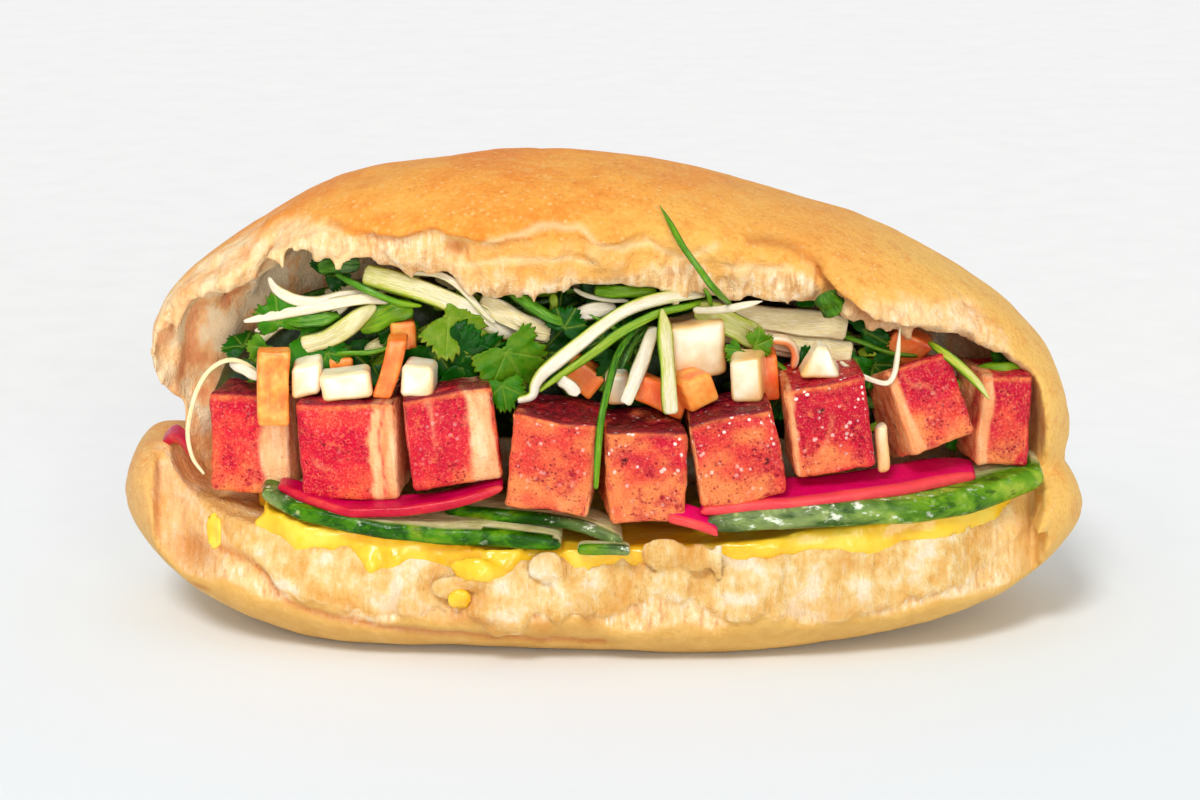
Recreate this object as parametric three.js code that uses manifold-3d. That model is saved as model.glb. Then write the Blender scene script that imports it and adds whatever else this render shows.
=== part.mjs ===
// Banh mi sandwich: a crusty split roll opened along its front side, filled with mayonnaise, cucumber, pickled
// slices, glazed pork cubes, carrot and daikon dice, and a heap of scallion and coriander.
// Millimetres, +Z up. The open side faces -Y and the hinge of the roll is at +Y.
// The origin is the centre of the footprint, on the surface that the sandwich rests on.
import * as THREE from "three";
import Module from "manifold-3d";
import { mergeVertices } from "three/addons/utils/BufferGeometryUtils.js";

const wasm = await Module();
wasm.setup();

// ---------- driving sizes: the roll ----------
// Rows of keys run from the left end of the lobe to its right end, evenly spaced in angle.
const TOP = {
  left: -95.3,
  right: 98.0,
  halfDepth: 39.5,
  plan: 2.5,
  section: 2.35,
  leanBack: 2.4, // it leans back over the hinge by this much
  nose: [57, 40], // height of its two ends
  crown: [57, 69.2, 80.3, 91.7, 96.6, 96.3, 90.4, 81.8, 70.2, 56.6, 40],
  waist: [57, 57.5, 58.5, 59.5, 60, 60, 59, 56, 51, 45, 40], // height of its widest line
  below: [0, 10, 17, 22, 26, 27, 27, 26, 21, 14, 0], // how far it reaches under that line
};
const BASE = {
  left: -101.1,
  right: 101.1,
  halfDepth: 42.3,
  forward: 0.5,
  plan: 2.5,
  section: 2.6,
  nose: [27, 24],
  rim: [27, 38, 36.5, 34, 33, 33, 33, 34, 35, 33, 24],
  foot: [27, 16.5, 6, -1.7, -2.1, -3.1, -3.1, 0.6, 6.8, 17, 24], // levelled off at 0, where it rests
};
const HINGE = { left: -88.5, right: 97.2, middle: 9, halfDepth: 31, low: 14, high: 66, nose: [45, 32] };
const CUT = {
  left: -93.6,
  right: 90.8,
  nose: [56, 42],
  roof: [56, 66, 74, 79, 76.5, 74.5, 73.5, 67.5, 61.5, 54, 42],
  floor: [56, 34.5, 27.5, 22.5, 20.8, 20.4, 21.4, 24, 26.5, 30, 42],
  backTip: -14, // how far back the cut reaches at its tips
  back: 17, // and at its middle
  front: -66, // it runs out past the front of the roll
  corner: 10,
  lip: -24, // torn edge of the upper lobe: from here the tear slopes up and forward
  lipSlope: 1.75,
  rim: -36.5, // torn edge of the lower lobe: from here the tear drops away
  rimSlope: 2.4,
};
const GAP = 0.35; // clearance between neighbouring pieces

// ---------- driving sizes: the fillings ----------
// Boxes: centre x, y, z, width, depth, height, then pitch, roll and yaw in degrees.
const PORK_EDGE = 1.5;
const PORK = {
  pork_cube_1: [-70.6, -13.8, 41.9, 17.1, 17.0, 20.9, 0, -0.0, -14],
  pork_cube_2: [-50.5, -22.6, 42.9, 20.1, 19.0, 20.3, 0, -2.0, -6],
  pork_cube_3: [-31.0, -24.5, 46.2, 18.1, 19.0, 19.6, 0, -7.0, 4],
  pork_cube_4: [-9.8, -28.5, 41.8, 17.1, 19.0, 19.4, 0, 7.0, -5],
  pork_cube_5: [7.9, -29.5, 39.6, 15.7, 19.0, 18.6, 0, -0.0, 4],
  pork_cube_6: [26.3, -28.5, 43.2, 16.7, 19.0, 18.4, 0, -10.0, 2],
  pork_cube_7: [45.0, -24.5, 48.6, 16.4, 19.0, 19.5, 0, -8.0, 3],
  pork_cube_8: [64.0, -19.7, 49.5, 13.9, 18.0, 17.7, -18, -16.0, 14],
  pork_cube_9: [79.9, -13.3, 46.4, 11.6, 16.0, 19.1, 0, 2.0, 16],
};
const DICE_EDGE = 0.7;
const CARROT = {
  carrot_1: [-66.8, -26.8, 55.0, 6.4, 5.5, 15.4, 0, 2, 6],
  carrot_2: [-54.2, -18.6, 57.8, 5.3, 7.0, 4.6, 0, 0, 10],
  carrot_3: [-43.0, -27.0, 59.4, 3.9, 7.0, 11.7, 0, 9, 0],
  carrot_4: [-41.0, -16.0, 62.8, 5.3, 8.0, 7.6, 0, -5, 8],
  carrot_5: [-4.1, -20.0, 56.0, 7.3, 8.0, 5.5, 0, 38, 0],
  carrot_6: [11.2, -25.5, 53.4, 10.0, 9.0, 5.2, 0, 22, 5],
  carrot_7: [17.5, -27.9, 55.4, 6.8, 9.0, 6.2, 0, -8, 25],
  carrot_8: [32.8, -20.0, 56.2, 4.5, 8.0, 10.1, 0, -6, 5],
  carrot_9: [60.9, -12.5, 59.7, 9.0, 9.0, 7.6, 0, 28, 0],
};
const DAIKON = {
  daikon_1: [-60.2, -24.5, 57.0, 6.0, 8.0, 6.9, 0, -4, 6],
  daikon_2: [-51.8, -27.5, 55.9, 10.0, 8.0, 5.4, 0, -8, 4],
  daikon_3: [-37.0, -29.0, 57.8, 6.4, 8.0, 6.6, 0, 12, -6],
  daikon_4: [2.2, -24.0, 54.5, 4.8, 6.0, 6.5, 0, 0, 0],
  daikon_5: [18.1, -19.1, 61.9, 11.3, 12.0, 11.3, 0, -6, 10],
  daikon_6: [29.1, -28.0, 57.9, 6.4, 8.0, 9.1, 0, -4, -8],
  daikon_7: [43.0, -29.0, 61.5, 9.2, 7.0, 6.6, 0, 0, 0],
  daikon_8: [56.4, -29.0, 43.1, 2.8, 4.0, 9.2, 0, -14, 0],
};
// Slices: the front edge as a line of x, y, z, then width front to back, thickness and the tilt of the top in degrees.
const CUCUMBER = {
  cucumber_1: { line: [[-69.4, -29.0, 33.0], [-61.2, -33.5, 30.4], [-52.1, -36.5, 28.8], [-38.5, -38.5, 27.3], [-25.3, -39.2, 26.5], [-8.7, -39.5, 25.5]], width: 20, thick: 3.9, tilt: 2 },
  cucumber_2: { line: [[-32.3, -30.0, 29.7], [-21.0, -33.0, 29.4], [-8.9, -35.0, 28.7], [3.6, -37.5, 25.7]], width: 13, thick: 2.8, tilt: 2 },
  cucumber_3: { line: [[20.2, -39.5, 29.7], [34.6, -39.0, 30.6], [49.3, -37.5, 31.2], [64.1, -34.0, 30.9], [77.4, -28.5, 32.0], [90.1, -21.0, 34.2]], width: 19, thick: 4.8, tilt: 4 },
  cucumber_4: { line: [[-5.2, -40.0, 24.6], [-0.0, -40.4, 24.5], [5.2, -40.4, 24.7]], width: 5, thick: 2.2, tilt: 0 },
};
const PICKLE = {
  pickle_1: { line: [[-66.2, -29.0, 34.5], [-56.7, -34.0, 32.0], [-47.4, -36.5, 31.3], [-30.9, -37.0, 33.1], [-20.3, -36.0, 36.6]], width: 8, thick: 2.2, tilt: 4 },
  pickle_2: { line: [[19.2, -38.8, 32.2], [34.6, -38.4, 33.3], [49.3, -36.0, 34.1], [63.9, -31.0, 35.1], [75.7, -25.0, 35.4]], width: 12, thick: 2.6, tilt: 8 },
  pickle_3: { line: [[12.8, -39.0, 30.8], [18.1, -40.5, 29.6], [22.7, -41.0, 28.1]], width: 6, thick: 2.0, tilt: 25 },
  pickle_4: { line: [[-92.5, -8.0, 37.4], [-88.9, -12.0, 39.8], [-85.3, -18.0, 38.3]], width: 6, thick: 2.2, tilt: 10 },
};
const CARROT_CURL = { centre: [35.2, -20.5, 59.8], radius: 4.1, wide: 4, thick: 1.7, from: -20, to: 215 };
const MAYO = { left: -88, right: 87, back: 6, over: 2.2, thick: [0.6, 1.4, 4.2, 4.0, 2.6, 2.2, 2.8, 2.8, 2.6, 1.6, 0.6] };
const SALAD = {
  left: -84,
  right: 85,
  front: [-14, -14, -15, -17, -17, -17, -17, -17, -15, -12, -10],
  top: [56, 64, 71, 75, 73.5, 71.5, 70.5, 65, 59.5, 53, 42],
  foot: 36,
  lump: 1.6,
};

const STATIONS = 22;
const RING = 20;

// ---------- helpers ----------
const rad = Math.PI / 180;
const toSolid = (geometry) => {
  const g = geometry.clone();
  g.deleteAttribute("normal");
  g.deleteAttribute("uv");
  const m = mergeVertices(g, 1e-4);
  return new wasm.Manifold(
    new wasm.Mesh({ numProp: 3, vertProperties: m.attributes.position.array, triVerts: new Uint32Array(m.index.array) }),
  );
};
const fromSolid = (solid) => {
  const m = solid.getMesh();
  const v = new Float32Array(m.numVert * 3);
  for (let i = 0; i < m.numVert; i++) v.set(m.vertProperties.subarray(i * m.numProp, i * m.numProp + 3), i * 3);
  const g = new THREE.BufferGeometry();
  g.setAttribute("position", new THREE.BufferAttribute(v, 3));
  g.setIndex(new THREE.BufferAttribute(m.triVerts, 1));
  g.computeVertexNormals();
  return g;
};
// Catmull-Rom through evenly spaced keys, t from 0 to 1.
const along = (keys, t) => {
  const n = keys.length - 1;
  const f = Math.min(Math.max(t, 0), 1) * n;
  const i = Math.min(Math.floor(f), n - 1);
  const u = f - i;
  const k = (j) => keys[Math.min(Math.max(j, 0), n)];
  const [a, b, c, d] = [k(i - 1), k(i), k(i + 1), k(i + 2)];
  return b + 0.5 * u * (c - a + u * (2 * a - 5 * b + 4 * c - d + u * (3 * (b - c) + d - a)));
};
const spow = (v, p) => Math.sign(v) * Math.pow(Math.abs(v), p);
const share = (s) => 0.5 + Math.asin(Math.min(1, Math.max(-1, s))) / Math.PI; // even in angle
const plan = (s, n) => Math.pow(Math.max(0, 1 - Math.pow(Math.abs(s), n)), 1 / n);
const between = (a, b, s) => (a + b) / 2 + (s * (b - a)) / 2;
// A sphere with its poles along X. Station s runs from -1 to 1, and angle a runs round it from +Y downwards.
const spindle = (map, pole, stations = STATIONS, ring = RING) => {
  const g = new THREE.SphereGeometry(1, ring, stations);
  const p = g.attributes.position;
  const row = ring + 1;
  for (let i = 0; i < p.count; i++) {
    const line = Math.floor(i / row);
    const s = -Math.cos((Math.PI * line) / stations);
    const j = (i % row) % ring;
    const [x, y, z] = line === 0 || line === stations ? pole(Math.sign(s)) : map(s, (-2 * Math.PI * j) / ring, j);
    p.setXYZ(i, x, y, z);
  }
  return g;
};

// ---------- the roll ----------
const topLobe = spindle(
  (s, a) => {
    const t = share(s);
    const mid = along(TOP.waist, t);
    const reach = Math.sin(a) > 0 ? along(TOP.crown, t) - mid : along(TOP.below, t);
    const e = 2 / TOP.section;
    return [
      between(TOP.left, TOP.right, s),
      TOP.leanBack * plan(s, 2) + plan(s, TOP.plan) * TOP.halfDepth * spow(Math.cos(a), e),
      mid + reach * spow(Math.sin(a), e),
    ];
  },
  (e) => [e < 0 ? TOP.left : TOP.right, 0, TOP.nose[e < 0 ? 0 : 1]],
);
const baseLobe = spindle(
  (s, a) => {
    const t = share(s);
    const e = 2 / BASE.section;
    return [
      between(BASE.left, BASE.right, s),
      plan(s, BASE.plan) * (BASE.halfDepth * spow(Math.cos(a), e) - BASE.forward),
      Math.max(0, between(along(BASE.foot, t), along(BASE.rim, t), spow(Math.sin(a), e))),
    ];
  },
  (e) => [e < 0 ? BASE.left : BASE.right, 0, BASE.nose[e < 0 ? 0 : 1]],
);
const hinge = spindle(
  (s, a) => {
    const k = plan(s, 3);
    const nose = between(HINGE.nose[0], HINGE.nose[1], s);
    return [
      between(HINGE.left, HINGE.right, s),
      HINGE.middle * plan(s, 2) + k * HINGE.halfDepth * spow(Math.cos(a), 0.85),
      nose + k * (Math.sin(a) > 0 ? HINGE.high - nose : nose - HINGE.low) * spow(Math.sin(a), 0.85),
    ];
  },
  (e) => [e < 0 ? HINGE.left : HINGE.right, 0, HINGE.nose[e < 0 ? 0 : 1]],
  12,
  12,
);
// The cut between the lobes, run round by hand-named corners: back wall, floor, rim, front, lip and roof.
const CUT_RING = 22;
const cutSection = (s, grow) => {
  const t = share(s);
  const k = plan(s, 3);
  const edge = plan(s, 2.5);
  const x = between(CUT.left - grow, CUT.right + grow, s);
  const roof = along(CUT.roof, t) + grow + 0.7 * k * Math.sin(x / 9 + 2);
  const floor = along(CUT.floor, t) - grow;
  const back = CUT.backTip + (CUT.back - CUT.backTip) * plan(s, 2) + grow;
  const lip = Math.min(CUT.lip * edge + 1.1 * Math.sin(x / 8), back - 2) + 0.6 * grow;
  const rim = Math.min(CUT.rim * edge + 0.8 * Math.sin(x / 7 + 1), back - 2) + 0.6 * grow;
  const r = Math.min(CUT.corner, 0.45 * (roof - floor));
  const points = [[back, (roof + floor) / 2]];
  for (const q of [0, 30, 60, 90]) points.push([back - r + r * Math.cos(q * rad), floor + r - r * Math.sin(q * rad)]);
  for (const q of [0.33, 0.66, 1]) points.push([back - r + q * (rim - back + r), floor]);
  for (const q of [3, 9, 30]) points.push([rim - q, floor - k * CUT.rimSlope * (q === 3 ? 2 : q)]);
  points.push([CUT.front, (roof + floor) / 2]);
  for (const q of [30, 9, 3, 0]) points.push([lip - q, roof + k * CUT.lipSlope * (q === 3 ? 2.4 : q)]);
  for (const q of [0.66, 0.33]) points.push([back - r + q * (lip - back + r), roof]);
  for (const q of [90, 60, 30, 0]) points.push([back - r + r * Math.cos(q * rad), roof - r + r * Math.sin(q * rad)]);
  return points.map(([y, z]) => [x, y, z]);
};
const cutShape = (grow) => {
  const cache = new Map();
  return toSolid(
    spindle(
      (s, a, j) => {
        if (!cache.has(s)) cache.set(s, cutSection(s, grow));
        return cache.get(s)[j];
      },
      (e) => [e < 0 ? CUT.left - grow : CUT.right + grow, -40, CUT.nose[e < 0 ? 0 : 1]],
      26,
      CUT_RING,
    ),
  );
};
const roll = toSolid(topLobe).add(toSolid(baseLobe)).add(toSolid(hinge)).subtract(cutShape(0));
const pocket = cutShape(-3 * GAP); // pieces stay inside this
const lining = cutShape(-1.6 * GAP); // soft layers may come closer to the crumb

// ---------- pieces ----------
// A box with softened edges and slightly uneven faces; grow makes it larger all round.
const softBox = ([x, y, z, w, d, h, pitch, roll, yaw], edge, cells, seed, grow = 0, bulge = 0.3) => {
  const half = [w / 2 + grow, d / 2 + grow, h / 2 + grow];
  const r = edge + grow;
  const g = new THREE.BoxGeometry(2, 2, 2, cells, cells, cells);
  const p = g.attributes.position;
  const v = new THREE.Vector3();
  const turn = new THREE.Matrix4()
    .makeRotationZ(yaw * rad)
    .multiply(new THREE.Matrix4().makeRotationX(pitch * rad))
    .multiply(new THREE.Matrix4().makeRotationY(roll * rad));
  for (let i = 0; i < p.count; i++) {
    v.fromBufferAttribute(p, i);
    const c = [v.x, v.y, v.z];
    const at = c.map((u, k) => {
      const n = Math.round(u * cells) / cells; // -1 .. 1
      if (cells < 4 || Math.abs(n) > 0.99) return n * half[k];
      return Math.abs(n) > 0.3 ? Math.sign(n) * (half[k] - r) : 0;
    });
    const inner = at.map((u, k) => Math.min(Math.max(u, r - half[k]), half[k] - r));
    const diff = at.map((u, k) => u - inner[k]);
    const length = Math.hypot(...diff);
    const out = length > 0 ? at.map((u, k) => inner[k] + (diff[k] * r) / length) : at;
    const wave = (q) => bulge * Math.sin(seed * 1.7 + q * 2.1 + out[(q + 1) % 3] * 0.31 + out[(q + 2) % 3] * 0.23);
    v.set(out[0] + wave(0), out[1] + wave(1), out[2] + wave(2)).applyMatrix4(turn);
    p.setXYZ(i, v.x + x, v.y + y, v.z + z);
  }
  return toSolid(g);
};
// A slice whose front edge follows a line.
const slice = ({ line, width, thick, tilt, taper = 0.35 }, cells, grow = 0) => {
  const curve = new THREE.CatmullRomCurve3(line.map((q) => new THREE.Vector3(...q)));
  const g = new THREE.BoxGeometry(1, 1, 1, cells, 2, 2);
  const p = g.attributes.position;
  const q = new THREE.Vector3();
  for (let i = 0; i < p.count; i++) {
    const u = p.getX(i) + 0.5;
    const v = p.getY(i) + 0.5; // 0 at the front edge
    const w = 2 * p.getZ(i);
    curve.getPointAt(u, q);
    const end = Math.pow(Math.abs(2 * u - 1), 6);
    const wide = width * (1 - taper * end) + 2 * grow;
    const t = (thick * (1 - 0.3 * end)) / 2 + grow;
    const inX = (2 * u - 1) * grow;
    const round = v === 0.5 ? 0 : w === 0 ? 0 : 0.25 * Math.min(t, 2);
    const y = v * wide - grow + (v < 0.5 ? round : -round);
    p.setXYZ(i, q.x + inX, q.y + y * Math.cos(tilt * rad), q.z + y * Math.sin(tilt * rad) + w * t);
  }
  return toSolid(g);
};
const curl = ({ centre: [x, y, z], radius, wide, thick, from, to }, grow = 0) => {
  const g = new THREE.BoxGeometry(1, 1, 1, 9, 1, 1);
  const p = g.attributes.position;
  for (let i = 0; i < p.count; i++) {
    const u = p.getX(i) + 0.5;
    const extra = (grow / radius) * (2 * u - 1);
    const a = from * rad + u * (to - from) * rad + extra;
    const r = radius + p.getZ(i) * (thick + 2 * grow);
    p.setXYZ(i, x - r * Math.cos(a), y + p.getY(i) * (wide + 2 * grow), z + r * Math.sin(a));
  }
  return toSolid(g);
};
const mayoShape = () =>
  toSolid(
    spindle(
      (s, a) => {
        const x = between(MAYO.left, MAYO.right, s);
        const sCut = ((x - (CUT.left + CUT.right) / 2) * 2) / (CUT.right - CUT.left);
        const floor = along(CUT.floor, share(sCut)) + 2 * GAP;
        const front = CUT.rim * plan(sCut, 2.5) - MAYO.over * plan(s, 3) + 0.7 * Math.sin(x / 5);
        const back = MAYO.back * plan(s, 3);
        const y = between(front, back, spow(Math.cos(a), 0.5));
        const sag = Math.max(0, CUT.rim * plan(sCut, 2.5) - y) * 0.9;
        const h = along(MAYO.thick, share(s));
        return [x, y, floor + h / 2 - sag + (h / 2) * spow(Math.sin(a), 0.6)];
      },
      (e) => {
        const x = e < 0 ? MAYO.left : MAYO.right;
        const sCut = ((x - (CUT.left + CUT.right) / 2) * 2) / (CUT.right - CUT.left);
        return [x, -14, along(CUT.floor, share(sCut)) + GAP + 0.3];
      },
      18,
      8,
    ),
  );
const saladShape = () =>
  toSolid(
    spindle(
      (s, a) => {
        const t = share(s);
        const x = between(SALAD.left, SALAD.right, s);
        const k = plan(s, 3);
        const top = along(SALAD.top, t);
        const mid = (top + SALAD.foot) / 2;
        const front = along(SALAD.front, t);
        const back = CUT.back * k;
        const lump = SALAD.lump * k * (Math.sin(x / 4.1 + 3 * a) + Math.sin(x / 6.7 - 2 * a + 1));
        return [
          x,
          between(front, back, spow(Math.cos(a), 0.7)) + lump * Math.cos(a),
          mid + ((top - SALAD.foot) / 2) * k * spow(Math.sin(a), 0.7) + 0.7 * lump * Math.sin(a),
        ];
      },
      (e) => [e < 0 ? SALAD.left : SALAD.right, -2, e < 0 ? 52 : 44],
      16,
      10,
    ),
  );

// ---------- assembly ----------
const group = new THREE.Group();
const placed = []; // enlarged copies of what is already in place
const LOOK = {
  bread: [0xe3a45a, 0.75],
  pork: [0xd9524a, 0.35],
  carrot: [0xf58a4c, 0.4],
  daikon: [0xf6f1e2, 0.35],
  cucumber: [0x55781c, 0.35],
  pickle: [0xd42a4d, 0.3],
  mayo: [0xf6cf4c, 0.3],
  salad: [0x6d9a33, 0.5],
};
const touches = (a, b) => {
  const p = a.boundingBox();
  const q = b.boundingBox();
  return [0, 1, 2].every((k) => p.min[k] < q.max[k] && q.min[k] < p.max[k]);
};
const largest = (solid) => solid.decompose().sort((a, b) => b.volume() - a.volume())[0];
const add = (name, solid, look, grown) => {
  let s = solid;
  for (const other of placed) if (touches(s, other)) s = s.subtract(other);
  s = largest(s.simplify(0.06));
  const [color, roughness] = LOOK[look];
  const mesh = new THREE.Mesh(fromSolid(s), new THREE.MeshStandardMaterial({ color, roughness, metalness: 0 }));
  mesh.name = name;
  group.add(mesh);
  if (grown) placed.push(grown);
};

add("bread_roll", roll, "bread");
const inPocket = (s) => s.intersect(pocket);
let seed = 0;
for (const [name, row] of Object.entries(PORK)) {
  seed++;
  add(name, inPocket(softBox(row, PORK_EDGE, 4, seed)), "pork", softBox(row, PORK_EDGE, 4, seed, GAP));
}
for (const [table, look] of [
  [CARROT, "carrot"],
  [DAIKON, "daikon"],
])
  for (const [name, row] of Object.entries(table)) {
    seed++;
    add(name, inPocket(softBox(row, DICE_EDGE, 2, seed, 0, 0.25)), look, softBox(row, DICE_EDGE, 2, seed, GAP, 0.25));
  }
add("carrot_curl", inPocket(curl(CARROT_CURL)), "carrot", curl(CARROT_CURL, GAP));
for (const [table, look, cells] of [
  [CUCUMBER, "cucumber", 8],
  [PICKLE, "pickle", 6],
])
  for (const [name, row] of Object.entries(table))
    add(name, inPocket(slice(row, cells)), look, slice(row, cells, GAP));
add("mayonnaise", mayoShape().intersect(lining), "mayo");
placed.push(mayoShape().translate([0, 0, GAP]));
add("herb_salad", saladShape().intersect(lining), "salad");

export default group;
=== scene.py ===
# Looks of a banh mi sandwich: a split crusty roll with pork cubes, cucumber, pickled vegetables, mayonnaise,
# dice, scallion and coriander. Millimetres inside the helpers, metres in the meshes.
import math

import bpy
import numpy as np
import openvdb as vdb
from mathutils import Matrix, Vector


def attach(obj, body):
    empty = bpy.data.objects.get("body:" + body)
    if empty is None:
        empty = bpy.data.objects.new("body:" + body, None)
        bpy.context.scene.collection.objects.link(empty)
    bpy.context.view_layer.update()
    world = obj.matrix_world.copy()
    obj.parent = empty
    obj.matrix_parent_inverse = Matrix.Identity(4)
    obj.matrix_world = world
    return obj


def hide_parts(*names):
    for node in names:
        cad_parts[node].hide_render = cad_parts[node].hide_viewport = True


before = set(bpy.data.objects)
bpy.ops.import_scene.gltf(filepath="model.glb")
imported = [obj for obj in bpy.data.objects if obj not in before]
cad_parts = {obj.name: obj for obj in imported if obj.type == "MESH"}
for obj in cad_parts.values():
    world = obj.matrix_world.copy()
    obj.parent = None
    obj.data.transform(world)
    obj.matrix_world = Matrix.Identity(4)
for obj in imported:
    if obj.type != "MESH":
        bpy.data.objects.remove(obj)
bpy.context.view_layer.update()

rng = np.random.default_rng(20)


# ------------------------------------------------------------------ helpers
def srgb(r, g, b):
    """0-255 display colour to scene linear."""
    return tuple((c / 255 / 12.92) if c / 255 <= 0.04045 else ((c / 255 + 0.055) / 1.055) ** 2.4 for c in (r, g, b)) + (1.0,)


_tables = {}


def lattice(seed):
    if seed not in _tables:
        _tables[seed] = np.random.default_rng(1000 + seed).uniform(-1, 1, (32, 32, 32)).astype(np.float32)
    return _tables[seed]


def noise(p, scale, seed=0):
    """Smooth value noise in -1..1 at points p (n, 3), feature size = scale."""
    t = lattice(seed)
    scale = np.asarray(scale, np.float32)
    q = p / scale + 100.37
    i = np.floor(q).astype(np.int32)
    f = (q - i).astype(np.float32)
    f = f * f * (3 - 2 * f)
    a = i % 32
    b = (i + 1) % 32
    x0, y0, z0 = a[..., 0], a[..., 1], a[..., 2]
    x1, y1, z1 = b[..., 0], b[..., 1], b[..., 2]
    fx, fy, fz = f[..., 0], f[..., 1], f[..., 2]
    c00 = t[x0, y0, z0] * (1 - fx) + t[x1, y0, z0] * fx
    c10 = t[x0, y1, z0] * (1 - fx) + t[x1, y1, z0] * fx
    c01 = t[x0, y0, z1] * (1 - fx) + t[x1, y0, z1] * fx
    c11 = t[x0, y1, z1] * (1 - fx) + t[x1, y1, z1] * fx
    return (c00 * (1 - fy) + c10 * fy) * (1 - fz) + (c01 * (1 - fy) + c11 * fy) * fz


def fbm(p, scale, octaves=3, seed=0, gain=0.5):
    out = 0
    amp = 1.0
    s = np.asarray(scale, np.float32)
    for k in range(octaves):
        out = out + amp * noise(p, s, seed + k)
        amp *= gain
        s = s / 2.03
    return out


def smooth01(v, lo, hi):
    t = np.clip((v - lo) / (hi - lo), 0, 1)
    return t * t * (3 - 2 * t)


def smax(a, b, k):
    h = np.clip(0.5 + 0.5 * (a - b) / k, 0, 1)
    return b + (a - b) * h + k * h * (1 - h)


def smin(a, b, k):
    return -smax(-a, -b, k)


def along(keys, t):
    keys = np.asarray(keys, float)
    n = len(keys) - 1
    f = np.clip(t, 0, 1) * n
    i = np.minimum(np.floor(f).astype(int), n - 1)
    u = f - i
    k = lambda j: keys[np.clip(j, 0, n)]
    a, b, c, d = k(i - 1), k(i), k(i + 1), k(i + 2)
    return b + 0.5 * u * (c - a + u * (2 * a - 5 * b + 4 * c - d + u * (3 * (b - c) + d - a)))


def share(s):
    return 0.5 + np.arcsin(np.clip(s, -1, 1)) / np.pi


def plan(s, n):
    return np.maximum(0, 1 - np.abs(s) ** n) ** (1 / n)


def mesh_object(name, verts_mm, faces, smooth=True, attrs=None, colors=None):
    me = bpy.data.meshes.new(name)
    me.from_pydata((np.asarray(verts_mm, float) / 1000).tolist(), [], [tuple(f) for f in faces] if not isinstance(faces, np.ndarray) else faces.tolist())
    me.update()
    if smooth:
        me.polygons.foreach_set("use_smooth", [True] * len(me.polygons))
    for key, values in (attrs or {}).items():
        a = me.attributes.new(key, "FLOAT", "POINT")
        a.data.foreach_set("value", np.asarray(values, np.float32))
    for key, values in (colors or {}).items():
        a = me.attributes.new(key, "FLOAT_VECTOR", "POINT")
        a.data.foreach_set("vector", np.asarray(values, np.float32).reshape(-1))
    ob = bpy.data.objects.new(name, me)
    bpy.context.scene.collection.objects.link(ob)
    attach(ob, "root")
    return ob


def grid_faces(nu, nv, wrap_v=False, base=0):
    out = []
    for i in range(nu - 1):
        for j in range(nv if wrap_v else nv - 1):
            a = base + i * nv + j
            b = base + i * nv + (j + 1) % nv
            out.append((a, b, b + nv, a + nv))
    return out


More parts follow.
